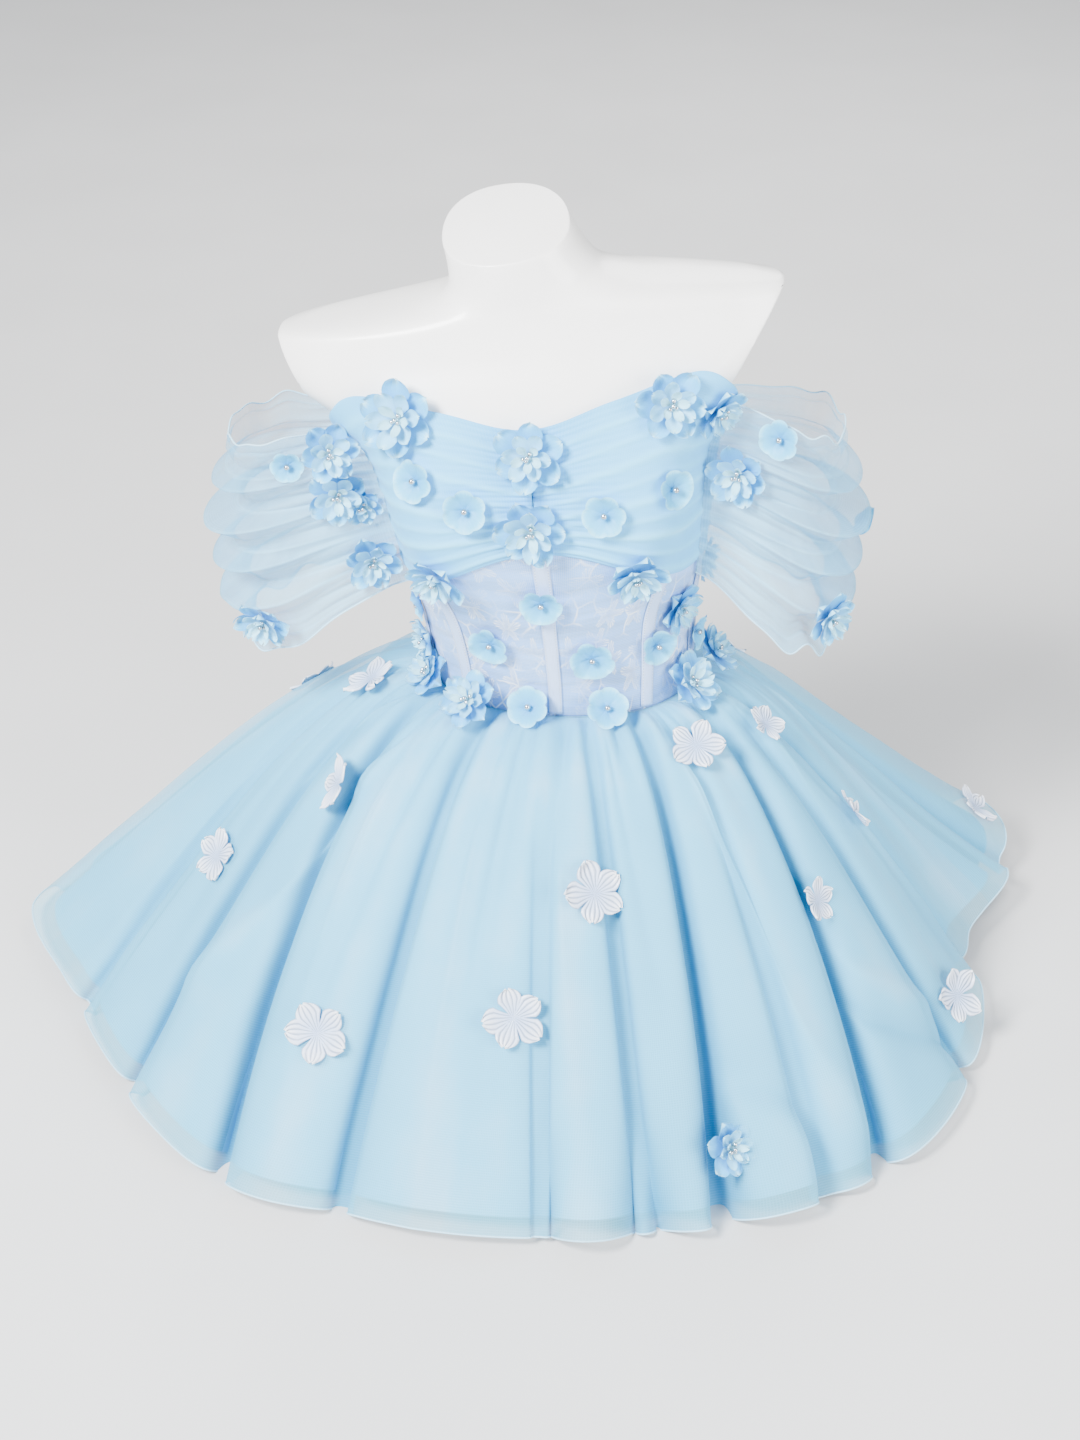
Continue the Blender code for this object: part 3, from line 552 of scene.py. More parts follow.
COVER_NET = 0.0007  # its thickness
COVER_GATHERS, COVER_GATHER_DEPTH = 160, 0.0003  # where it is caught at centre front
draped_net = soft_net("draped_net", NET_OVER_SATIN, (0.05, 0.42, 0.85), grain=0.15)
for side, hand in SIDES:

    def point(across, up, side=side):
        height = np.full_like(up, 0.2)
        near = across < 0.5
        for _ in range(4):
            start = np.where(near, seam_angle(CENTRE_FRONT, height) + SEAM_TURN, seam_angle(FRONT, height))
            end = np.where(near, seam_angle(FRONT, height), seam_angle(SIDE, height))
            angle = side * mix(start, end, 2 * across - (across >= 0.5))
            height = mix(cover_low(angle), neckline(angle) + 0.001, up)
        gathers = COVER_GATHER_DEPTH * np.sin(up * COVER_GATHERS + 9 * across) * bump(across / 0.22)
        rim = 1 - bump(np.minimum(up, 1 - up) / 0.012)
        out = COVER_INSIDE + (0.8 * ruching(across, up) * (1 - 0.35 * across) + gathers) * rim
        return form_point(angle, height, out + TOP_EASE * (up**4 + across**4))

    cover = surface(f"draped_cover_{hand}", 120, 150, point, (0.16, 0.13), turned=side < 0, fold=cover_fold)
    add_piece(cover, draped_net, f"bust_cover_{hand}", COVER_NET)

# ---------------------------------------------------------------------------------------------------------------
# The bone channels: narrow satin tapes stitched down both sides over the corset's seams, each round over the
# bone inside it. At centre back a flat flap covers the zip.

BONE_WIDTH, BONE_FOOT, BONE_CROWN = 0.012, 0.0040, 0.0011
FLAP_WIDTH, FLAP_LENGTH = 0.020, 0.22
TAPE_THICK, FLAP_THICK = 0.0006, 0.0008
STITCH_INSET, STITCHES = 0.0016, 2300.0  # the stitches' line from the edge, and their turns along a metre
TAPE_SATIN = (0.46, 0.62, 0.92)


def stitched_tape(name, width):
    """Satin tape with a line of small stitches along both sides and painted shade along each stitch line, on a UV map
    in metres.
    """
    made = new_material(name, 0.34, sheen=0.2, specular=0.6)
    on_tape = node(made, "TexCoord").outputs["UV"]
    at = node(made, "SeparateXYZ", {0: on_tape}).outputs
    edge = calc(made, "ABSOLUTE", calc(made, "SUBTRACT", at["X"], width / 2))
    line = calc(made, "ABSOLUTE", calc(made, "SUBTRACT", edge, width / 2 - STITCH_INSET))
    near = ramp(made, times(made, line, 1000.0), (0.15, 1.0), (0.45, 0.0))
    dash = ramp(made, calc(made, "SINE", times(made, at["Y"], STITCHES)), (0.25, 0.0), (0.45, 1.0))
    stitch = times(made, near, dash)
    dim, bright, stitch_shade = [tuple(c * k for c in TAPE_SATIN) for k in (0.90, 1.05, 0.62)]
    body = ramp(made, cloudy(made, stretched(made, on_tape, 2200.0, 120.0), 1.0), (0.3, dim), (0.7, bright))
    # Painted shade: the tape is darkened along each stitch line, in the furrow that the stitches pull in.
    body = colour_mix(made, times(made, near, 0.35), body, stitch_shade)
    into_shader(made, Base_Color=colour_mix(made, stitch, body, (0.86, 0.91, 0.98)))
    bump_from(made, calc(made, "MULTIPLY_ADD", near, -1.0, times(made, stitch, 0.8)), 0.0004, 0.9)
    return made


TAPES = [  # name, seam, side of the body, length, how tightly its width curves, and the panel under it
    ("centre", CENTRE_FRONT, 1, 0.155, 0.175, "centre_front_left"),
    ("front_left", FRONT, -1, 0.128, 0.105, "side_front_left"),
    ("front_right", FRONT, 1, 0.128, 0.105, "side_front_right"),
    ("side_left", SIDE, -1, 0.113, 0.105, "side_front_left"),
    ("side_right", SIDE, 1, 0.113, 0.105, "side_front_right"),
]
tape = stitched_tape("bone_channel_tape", BONE_WIDTH)
for name, seam, side, length, radius, panel in TAPES:

    def point(across, up, seam=seam, side=side, radius=radius):
        top = cover_low(seam_angle(seam, np.array(0.15))) - 0.001
        height = mix(BONE_FOOT, top, up)
        angle = side * seam_angle(seam, height) + (across - 0.5) * BONE_WIDTH / radius
        crown = 1 - np.abs(2 * across - 1) ** 3
        return form_point(angle, height, PANEL_OUTSIDE + TAPE_THICK + BONE_CROWN * crown)

    channel = surface(f"bone_channel_{name}", 10, 60, point, (BONE_WIDTH, length))
    add_piece(channel, tape, f"bone_{name}", TAPE_THICK)


def flap_point(across, up):
    angle = math.pi + (across - 0.5) * FLAP_WIDTH / 0.170
    height = mix(BONE_FOOT, neckline(np.array(math.pi)) - 0.001, up)
    return form_point(angle, height, PANEL_OUTSIDE + LAY + TOP_EASE * up**4)


zip_flap = surface("zip_flap", 6, 80, flap_point, (FLAP_WIDTH, FLAP_LENGTH))
add_piece(zip_flap, stitched_tape("zip_flap_satin", FLAP_WIDTH), "back_zip_flap", FLAP_THICK)

# ---------------------------------------------------------------------------------------------------------------
# The skirt: three gores of crisp net gathered into the waist seam, over a closer lining of the same cut. It
# springs out from the waist and falls in big folds. The outer net is see-through where it stands off the lining.

Hem = namedtuple("Hem", "angle radius rise sag")
HEM = [
    Hem(-180, 0.385, 0.000, 1.0),
    Hem(-140, 0.400, 0.000, 1.0),
    Hem(-112, 0.442, 0.000, 0.7),
    Hem(-91, 0.506, 0.000, 0.0),
    Hem(-75, 0.454, 0.000, 0.0),
    Hem(-56, 0.434, 0.000, 0.0),
    Hem(-38, 0.432, 0.000, 0.0),
    Hem(-19, 0.400, 0.000, 0.0),
    Hem(5, 0.388, 0.000, 0.0),
    Hem(30, 0.398, 0.000, 0.0),
    Hem(47, 0.412, 0.000, 0.0),
    Hem(68, 0.400, 0.000, 0.0),
    Hem(83, 0.388, 0.004, 0.1),
    Hem(93, 0.374, 0.010, 0.3),
    Hem(104, 0.430, 0.024, 0.7),
    Hem(114, 0.452, 0.030, 0.9),
    Hem(140, 0.410, 0.000, 1.2),
]
HEM_DROP = 0.302
PUFF_OUT, PUFF_UP = 0.069, 0.024
Trough = namedtuple("Trough", "waist hem width depth start")  # a valley between two big folds
TROUGHS = [
    Trough(-174, -170, 5.0, 0.026, 0.0),
    Trough(-160, -155, 6.0, 0.034, 0.0),
    Trough(-145, -139, 5.0, 0.028, 0.1),
    Trough(-130, -124, 6.0, 0.036, 0.0),
    Trough(-115, -108, 5.0, 0.028, 0.1),
    Trough(-99, -96, 4.5, 0.018, 0.2),
    Trough(-84, -73, 4.0, 0.018, 0.1),
    Trough(-70, -57, 4.5, 0.028, 0.1),
    Trough(-57, -38, 4.0, 0.036, 0.0),
    Trough(-24, -23, 4.0, 0.026, 0.0),
    Trough(-2, 2, 3.5, 0.012, 0.3),
    Trough(10, 15, 3.5, 0.022, 0.0),
    Trough(29, 25, 3.5, 0.040, 0.0),
    Trough(41, 37, 3.5, 0.016, 0.2),
    Trough(62, 47, 4.0, 0.036, 0.0),
    Trough(68, 67, 4.0, 0.026, 0.2),
    Trough(74, 88, 4.5, 0.036, 0.1),
    Trough(104, 107, 4.5, 0.020, 0.2),
    Trough(120, 124, 6.0, 0.034, 0.1),
    Trough(136, 140, 5.0, 0.028, 0.0),
    Trough(151, 155, 6.0, 0.034, 0.1),
    Trough(166, 172, 5.0, 0.026, 0.0),
]
# The gathers fan out from the waist seam and fade: how many go round, how deep, how they lean, where they end.
Gather = namedtuple("Gather", "count depth phase lean end")
GATHER_RUNS = [
    Gather(23, 0.0050, 0.4, 9, 0.85),
    Gather(41, 0.0036, 2.1, -7, 0.55),
    Gather(71, 0.0020, 4.4, 12, 0.35),
    Gather(120, 0.0010, 1.2, -5, 0.25),
]
# Long single creases in the net, from one point to another: angle and how far down. The lift is outwards.
Crease = namedtuple("Crease", "start_angle start_down end_angle end_down width lift")
CREASES = [
    Crease(36, 0.22, 44, 0.96, 1.3, 0.0080),
    Crease(48, 0.66, 66, 1.00, 1.0, -0.0070),
    Crease(52, 0.64, 70, 1.00, 1.2, 0.0050),
    Crease(75, 0.50, 84, 1.00, 1.0, 0.0065),
    Crease(72, 0.20, 70, 0.55, 1.2, 0.0040),
    Crease(94, 0.25, 97, 1.00, 1.0, 0.0050),
    Crease(16, 0.10, 20, 0.70, 0.9, -0.0030),
    Crease(4, 0.45, 9, 1.00, 0.8, 0.0030),
    Crease(-8, 0.08, -10, 0.60, 0.8, -0.0030),
    Crease(-14, 0.35, -13, 1.00, 1.0, 0.0028),
    Crease(-32, 0.12, -33, 0.75, 0.9, -0.0026),
    Crease(-40, 0.30, -30, 1.00, 0.9, 0.0030),
    Crease(-43, 0.22, -55, 0.85, 1.1, 0.0060),
    Crease(-60, 0.12, -66, 0.50, 1.0, 0.0034),
    Crease(-76, 0.10, -66, 0.85, 1.0, -0.0030),
    Crease(-80, 0.35, -79, 1.00, 1.2, 0.0036),
    Crease(-92, 0.20, -88, 1.00, 1.1, 0.0030),
    Crease(-120, 0.20, -117, 1.00, 1.2, 0.0034),
    Crease(-138, 0.15, -133, 0.90, 1.0, -0.0030),
    Crease(-152, 0.30, -148, 1.00, 1.1, 0.0032),
    Crease(-168, 0.15, -163, 1.00, 1.1, 0.0030),
    Crease(111, 0.20, 116, 1.00, 1.2, 0.0034),
    Crease(128, 0.15, 131, 0.90, 1.0, -0.0030),
    Crease(144, 0.30, 148, 1.00, 1.1, 0.0032),
    Crease(160, 0.15, 164, 1.00, 1.1, 0.0030),
    Crease(174, 0.25, 180, 1.00, 1.0, -0.0028),
]
# One fold at the hem has collapsed into a small pouch: its middle, its lean, its half-widths, and how far it
# stands out. Beside it the hem turns in small flutes, between two angles and below FLUTE_TOP.
POUCH_ANGLE, POUCH_DOWN, POUCH_LEAN, POUCH_WIDE, POUCH_LONG, POUCH_OUT = 31.0, 0.93, 14, 3.6, 0.09, 0.017
FLUTE_FROM, FLUTE_TO, FLUTE_STEP, FLUTE_DEPTH, FLUTE_TOP = 2.0, 24.0, 6.5, 0.013, 0.84
SEAM_GATHERS, SEAM_GATHER_DEPTH = 40, 0.0022  # the even ones right at the waist seam
SHOULDER = 2.6  # how squarely a fold turns into the valley beside it; 2 is a soft wave
TUCK = 1.8  # how far the folds close over the valleys between them; past 2 they would touch themselves


def in_troughs(degrees, down):
    """For each trough, how deep it is there and how many of its widths away its middle is."""
    for trough in TROUGHS:
        grown = np.clip((down - trough.start) / (1 - trough.start), 0, 1)
        away = (degrees - mix(trough.waist, trough.hem, down) + 180) % 360 - 180
        width = mix(trough.width * 0.8, trough.width, down)
        yield trough.depth * grown**0.7, away / width, width, grown


def trough_sum(degrees, down, shoulder=2.0):
    return sum(depth * np.exp(-(np.abs(away) ** shoulder)) for depth, away, _, _ in in_troughs(degrees, down))


def tucked(degrees, down):
    """The folds' shoulders move towards the valleys that they close over."""
    shift = sum(width * away**3 * bump(away) * grown**0.5 for _, away, width, grown in in_troughs(degrees, down))
    return degrees - TUCK * shift * np.clip(down * 3, 0, 1)


def creases(degrees, down):
    """How far the small gathers, the long creases, the pouch and the flutes lift the net."""
    total = np.zeros_like(degrees)
    for g in GATHER_RUNS:
        drift = 1.7 * np.sin(np.radians(degrees * 3.0) + g.phase)
        drift += 0.9 * np.sin(np.radians(degrees * 7.0) + 2 * g.phase)
        wave = np.abs(np.sin(np.radians(g.count * (degrees + g.lean * down)) / 2 + g.phase + drift))
        total += g.depth * (wave - 0.6) * np.clip(down * 9, 0, 1) * np.clip(1 - down / g.end, 0, 1) ** 1.5
    for c in CREASES:
        along = np.clip((down - c.start_down) / (c.end_down - c.start_down), 0, 1)
        line = mix(c.start_angle, c.end_angle, along**1.2)
        away = ((degrees - line + 180) % 360 - 180) / (c.width * mix(0.8, 1.3, along))
        shown = np.clip((down - c.start_down) / 0.12, 0, 1) * np.clip((c.end_down + 0.1 - down) / 0.12, 0, 1)
        total += c.lift * shown * np.exp(-(np.abs(away) ** 1.3))
    aside = (degrees - POUCH_LEAN * (down - POUCH_DOWN) - POUCH_ANGLE) / POUCH_WIDE
    total += POUCH_OUT * np.exp(-(np.hypot(aside, (down - POUCH_DOWN) / POUCH_LONG) ** 6))
    flutes = np.clip(np.minimum(degrees - FLUTE_FROM, FLUTE_TO - degrees) / 3, 0, 1)
    flutes = np.clip((down - FLUTE_TOP) / (1 - FLUTE_TOP), 0, 1) ** 1.5 * flutes
    return total + FLUTE_DEPTH * flutes * np.sin(2 * math.pi * degrees / FLUTE_STEP)


def skirt_point(degrees, down, inset=0.0, fullness=1.0, out=0.0, small=0.0, shoulder=2.0, tuck=False):
    """Points of the skirt's inner face. down runs from 0 at the waist seam to 1 at the hem.

    A layer that hangs inside has an inset, and fullness is how much of the skirt's folds it has. small is how
    much of the creases it has.
    """
    folds, crease = trough_sum(degrees, down, shoulder), creases(degrees, down) if small else 0.0
    if tuck:
        degrees = tucked(degrees, down)
    angle = np.radians(degrees)
    waist = form_point(angle, np.full_like(angle, -0.0002), PANEL_OUTSIDE + SEAM + 0.0006)
    radius, rise, sag = (smooth_curve(HEM, column, degrees, 360) for column in ("radius", "rise", "sag"))
    drop = HEM_DROP - rise
    outward = np.stack([np.sin(angle), -np.cos(angle), np.zeros_like(angle)], axis=-1)
    up = np.array([0.0, 0.0, 1.0])
    reach = radius - np.hypot(waist[..., 0], waist[..., 1])
    hem = outward * radius[..., None] + up * (WAIST_Z - drop)[..., None]
    spring = waist + outward * PUFF_OUT + up * (PUFF_UP * (1 - 1.4 * sag))[..., None]
    fall = waist + outward * (mix(0.57, 0.50, sag) * reach)[..., None] - up * (mix(0.42, 0.55, sag) * drop)[..., None]
    t = down[..., None]
    middle = waist * (1 - t) ** 3 + spring * 3 * t * (1 - t) ** 2 + fall * 3 * t**2 * (1 - t) + hem * t**3
    slope = (spring - waist) * (1 - t) ** 2 + (fall - spring) * 2 * t * (1 - t) + (hem - fall) * t**2
    away = unit(outward * -slope[..., 2:] + up * np.sum(slope * outward, axis=-1, keepdims=True))
    gather = SEAM_GATHER_DEPTH * np.sin(np.radians(degrees * SEAM_GATHERS))
    gather = gather * np.minimum(down * 8, 1) * (1 - down) ** 3
    sink = (folds + gather) * fullness + inset * down**0.5 - out - small * crease
    return middle - away * sink[..., None]


def lumps(degrees, down, size):
    """Soft uneven swelling of crisp net, from -1 to 1."""
    places = np.stack([np.cos(np.radians(degrees)), np.sin(np.radians(degrees)), down], axis=-1) * size
    return np.array([noise.noise(Vector(p)) for p in places])


def net_point(degrees, down):
    """Points of the outer net, which swells a little and lies unevenly."""
    loose = 0.0030 * np.minimum(down * 5, 1) * lumps(degrees, down, 3.2) + 0.0040 * down**5 * lumps(degrees, down, 8.0)
    return skirt_point(degrees, down, out=0.0015 + loose, small=1.0, shoulder=SHOULDER, tuck=True)


LINING_END = 0.976  # the lining ends this far down the net
LINING_INSET, LINING_SIDE_INSET = 0.004, 0.014  # it hangs further in at the sides and the back
# DEEP_FOLD: how far in the net takes its full valley colour, which is painted shade.
DEEP_FOLD = 0.030  # the net has its valley colour this far in
ROW_CLOSING = 1.25  # rows of points lie closer together near the waist
# A gore as built, between two angles, and as cut: its width at the hem, its length and its area.
Gore = namedtuple("Gore", "name start end columns width length area")
GORES = [
    Gore("front", -83, 98, 520, 1.45, 0.43, 0.484),
    Gore("back_right", 98, 180, 230, 0.58, 0.43, 0.196),
    Gore("back_left", -180, -83, 270, 0.74, 0.43, 0.249),
]
# The net's crest colour, and its valley colour, which is painted shade.
NET_CREST, NET_VALLEY_SHADE = (0.15, 0.62, 0.88), (0.01, 0.24, 0.50)
lining_net = soft_net("skirt_lining_net", (0.11, 0.56, 0.84), NET_VALLEY_SHADE, roughness=0.55, grain=0.06)
outer_net = soft_net("skirt_outer_net", NET_CREST, (0.03, 0.38, 0.66), roughness=0.6, alpha=0.36, grain=0.12)
skirts = []
for gore in GORES:

    # The fold mark: high in the valleys between the big folds and in sunk creases, low on creases that stand out. It
    # paints shade into the valleys and a highlight on the raised creases; on the outer net the deeper valley colour
    # stands partly for net lying doubled.
    def fold(across, down, gore=gore):
        degrees, below = mix(gore.start, gore.end, across), down**ROW_CLOSING
        return trough_sum(degrees, below) / DEEP_FOLD - 28 * np.clip(creases(degrees, below), -0.008, 0.0035)

    def lining(across, down, gore=gore):
        degrees, below = mix(gore.start, gore.end, across), LINING_END * down**ROW_CLOSING
        inset = mix(LINING_INSET, LINING_SIDE_INSET, np.clip((np.abs(degrees) - 62) / 30, 0, 1))
        return skirt_point(degrees, below, inset=inset, small=0.8, shoulder=SHOULDER, tuck=True)

    def outer(across, down, gore=gore):
        return net_point(mix(gore.start, gore.end, across), down**ROW_CLOSING)

    hem_length = math.radians(gore.end - gore.start) * 0.42
    under = surface(f"skirt_lining_{gore.name}", gore.columns, 96, lining, (hem_length, 0.42), turned=True, fold=fold)
    over = surface(f"skirt_net_{gore.name}", gore.columns, 110, outer, (hem_length, 0.43), turned=True, fold=fold)
    add_piece(under, lining_net, f"skirt_{gore.name}")
    add_piece(over, outer_net)
    skirts.append((gore, under, over))

# ---------------------------------------------------------------------------------------------------------------
# The underskirt: a front and a back of net that hang inside the skirt and hold it out. They have less of its
# folds, and their edge peeps out between them.

UNDERSKIRT_TOP, UNDERSKIRT_END = 0.14, 0.94  # how far down the skirt it starts and ends
UNDERSKIRT_INSET, UNDERSKIRT_FULLNESS = 0.028, 0.4
under_net = soft_net("underskirt_net", (0.14, 0.54, 0.84), (0.03, 0.32, 0.64), roughness=0.7, grain=0.2)
for name, start, end, columns in (("front", -83, 98, 260), ("back", 98, 277, 200)):

    def inner(across, down, start=start, end=end):
        degrees = (mix(start, end, across) + 180) % 360 - 180
        below = mix(UNDERSKIRT_TOP, UNDERSKIRT_END, down)
        return skirt_point(degrees, below, inset=UNDERSKIRT_INSET, fullness=UNDERSKIRT_FULLNESS, small=0.4)

    def shade(across, down):
        return 0.4 + 0.3 * down

    layer = surface(f"underskirt_layer_{name}", columns, 50, inner, (1.2, 0.36), turned=True, fold=shade)
    add_piece(layer, under_net, f"underskirt_{name}")

# ---------------------------------------------------------------------------------------------------------------
# The sleeves: each is one wide band of sheer organza, gathered tight onto the bodice at the front and the back of
# the armhole. It stands round the arm in deep open pleats, with a fine rolled edge above and below.

SLEEVE_FRONT, SLEEVE_BACK = math.radians(67), math.radians(122)
SLEEVE_SEWN, SLEEVE_RIM = (0.112, 0.250), (0.042, 0.238)
SLEEVE_ROLL, SLEEVE_SAG, SLEEVE_MIDDLE = 0.010, 0.015, -0.026
SLEEVE_REACH, SLEEVE_BELLY, SLEEVE_DEPTH = 0.252, 0.018, 0.058
BACK_SEWN_LOWER = 0.03
ARMHOLE_GATHERS, ARMHOLE_GATHER_DEPTH = 42, 0.0034
CUFF_WAVE = 0.0065
EDGE_THREAD, HEM_THREAD = 0.0007, 0.0008  # the radius of what is rolled into an edge
Pleat = namedtuple("Pleat", "up width depth")
SLEEVE_PLEATS = [
    Pleat(0.10, 0.050, 0.012),
    Pleat(0.29, 0.055, 0.016),
    Pleat(0.46, 0.050, 0.014),
    Pleat(0.68, 0.060, 0.018),
    Pleat(0.86, 0.045, 0.009),
]
# Narrow pleats between them, each with its lean from the seam to the rim.
FinePleat = namedtuple("FinePleat", "up lean width depth")
FINE_PLEATS = [
    FinePleat(0.03, 0.03, 0.016, 0.0040),
    FinePleat(0.17, -0.05, 0.020, 0.0060),
    FinePleat(0.24, 0.06, 0.014, 0.0045),
    FinePleat(0.36, -0.04, 0.018, 0.0060),
    FinePleat(0.41, 0.05, 0.013, -0.0040),
    FinePleat(0.54, -0.05, 0.018, 0.0065),
    FinePleat(0.60, 0.05, 0.015, 0.0045),
    FinePleat(0.75, -0.04, 0.018, 0.0060),
    FinePleat(0.80, 0.04, 0.013, -0.0040),
    FinePleat(0.94, 0.02, 0.016, 0.0040),
    # The crests between the deep pleats are pinched to sharp points.
    FinePleat(0.19, 0.00, 0.022, -0.0085),
    FinePleat(0.37, 0.00, 0.020, -0.0090),
    FinePleat(0.57, 0.00, 0.024, -0.0095),
    FinePleat(0.77, 0.00, 0.022, -0.0085),
]


def folded(x, crisp):
    """A valley's depth: a soft wave, or, where crisp is 1, straight sides that meet in sharp lines."""
    return mix(bump(x), 1.30 * np.clip(1 - np.abs(x) / 1.75, 0, 1), crisp)


def seam_gathers(up, out):
    """Fine gathers by the armhole, from 0 in a valley to 1 on a crest."""
    return np.abs(np.sin(up * ARMHOLE_GATHERS + 3.0 * out * (up - 0.4) + 1.5 * np.sin(up * 9)))


def sleeve_point(side, along, up, fine=0.0):
    """Points of the sleeve: along runs from the front of the armhole to the back, up from the cuff to the top.

    Where fine is 0 the sleeve has its plain shape, and where it is 1 all its small pleats and waves as well.
    """
    turn = math.pi * along
    out = np.sin(turn)
    sewn = mix(*SLEEVE_SEWN, up) + 0.010 * fine * up**3
    clear = COVER_INSIDE + NET + mix(0.0021, 0.0006, fine) + TOP_EASE * up**4
    front = form_point(np.full_like(up, side * SLEEVE_FRONT), sewn, clear)
    back = form_point(np.full_like(up, side * SLEEVE_BACK), sewn - BACK_SEWN_LOWER * up, clear)
    start = mix(front, back, ((1 - np.cos(turn)) / 2)[..., None])
    belly = SLEEVE_BELLY * np.sin(math.pi * up)
    pleat = sum(p.depth * folded((up - p.up) / p.width, fine) for p in SLEEVE_PLEATS) * np.minimum(out * 1.2, 1)
    small = sum(p.depth * np.exp(-np.abs((up - p.up - p.lean * out) / p.width)) for p in FINE_PLEATS) * fine
    small = small * np.clip(out * 4, 0, 1)
    gather = ARMHOLE_GATHER_DEPTH * (0.6 - seam_gathers(up, out)) * np.clip(out * 5, 0, 1) * (1 - 0.6 * out)
    wave = np.sin(along * 27 + side) * np.sin(math.pi * along) + 0.7 * np.sin(along * 45 + 2 * side)
    cuff = CUFF_WAVE * wave * ((1 - up) ** 7 + 0.5 * up**9) * np.minimum(out * 1.5, 1)
    rim_x = SLEEVE_MIDDLE + side * (SLEEVE_REACH + belly + 0.003 * fine - pleat - small)
    rim_z = WAIST_Z + mix(*SLEEVE_RIM, up) + side * SLEEVE_ROLL - 0.012 * (1 - np.cos(turn)) * up
    x = mix(start[..., 0], rim_x, out**0.7)
    z = mix(start[..., 2], rim_z, out) - SLEEVE_SAG * (1 - up) ** 3 * np.sin(math.pi * out) * 1.4 + cuff * fine
    in_folds = (pleat + small) * mix(out, np.minimum(out * 2.2, 1), fine) + gather * fine
    y = start[..., 1] - (SLEEVE_DEPTH * out - in_folds) * np.cos(turn)
    return np.stack([x, y, z], axis=-1)


def sleeve_fold(along, up):
    """The organza is denser and paler in its pleat lines and by the armhole, partly doubled organza and partly a
    painted highlight on the folds. Near its top edge it is clearer, and takes the net's painted highlight colour.
    """
    out = np.sin(math.pi * along)
    lines = sum(bump((up - p.up - p.lean * out) / 0.006) for p in FINE_PLEATS)
    valleys = sum(bump((up - p.up) / (p.width * 0.6)) for p in SLEEVE_PLEATS)
    near_seam = bump(np.minimum(along, 1 - along) / 0.12)
    body = 0.34 * (1 - np.clip((up - 0.72) / 0.14, 0, 1))
    return body + 0.34 * lines + 0.16 * valleys + (0.10 + 0.5 * (1 - seam_gathers(up, out))) * near_seam


def rolled_edge(name, points, radius):
    """A fine round edge along points, with six sides, as narrow as the thread rolled into it."""
    shape = bmesh.new()
    ring = bmesh.ops.create_circle(shape, cap_ends=False, segments=6, radius=radius)["verts"]
    edges = list({e for v in ring for e in v.link_edges})
    flat = [v.co.copy() for v in ring]
    last = len(points) - 1
    for i, point in enumerate(points):
        ahead = points[min(i + 1, last)] - points[max(i - 1, 0)]
        turn = Vector(ahead).to_track_quat("Z", "Y").to_matrix()
        if i:
            made = bmesh.ops.extrude_edge_only(shape, edges=edges)["geom"]
            edges = [e for e in made if isinstance(e, bmesh.types.BMEdge)]
            ring = [v for v in made if isinstance(v, bmesh.types.BMVert)]
        for vert, place in zip(ring, flat):
            vert.co = Vector(point) + turn @ place
    bmesh.ops.recalc_face_normals(shape, faces=shape.faces)
    obj = to_object(name, shape)
    add_piece(obj, rolled_thread)
    return obj


organza = soft_net(
    "sheer_organza", (0.12, 0.54, 0.87), (0.24, 0.66, 0.92), roughness=0.5, alpha=0.10, veil=0.52, grain=0.3
)
rolled_thread = new_material("rolled_hem_thread", 0.5, sheen=0.3)
spun = cloudy(rolled_thread, node(rolled_thread, "TexCoord").outputs["Object"], 900.0)
thread_colour = ramp(rolled_thread, spun, (0.3, (0.378, 0.666, 0.837)), (0.7, (0.42, 0.74, 0.93)))
into_shader(rolled_thread, Base_Color=thread_colour)
bump_from(rolled_thread, spun, 0.0002, 0.6)
for side, hand in SIDES:

    def band_point(along, up, side=side):
        return sleeve_point(side, along, up, fine=1.0)

    band = surface(
        f"organza_sleeve_{hand}", 150, 150, band_point, (0.62, 0.24), turned=side < 0, fold=sleeve_fold
    )
    add_piece(band, organza, f"sleeve_{hand}")
    run = np.linspace(0, 1, 90)
    edges = [
        rolled_edge(f"sleeve_edge_{where}_{hand}", band_point(run, np.full_like(run, up)), EDGE_THREAD)
        for where, up in (("low", 0.0), ("high", 1.0))
    ]

# The skirt's own rolled hems, one along each outer net.
for gore, under, over in skirts:
    run = np.linspace(gore.start, gore.end, gore.columns + 1)
    edge = rolled_edge(f"skirt_hem_{gore.name}", net_point(run, np.ones_like(run)), HEM_THREAD)

# ---------------------------------------------------------------------------------------------------------------
# The flowers: die-cut petals of stiffened net and satin, shaped by heat and sewn on in layers through their
# middles. The blue ones carry pearls. The white satin ones on the skirt have ribbed petals and none.

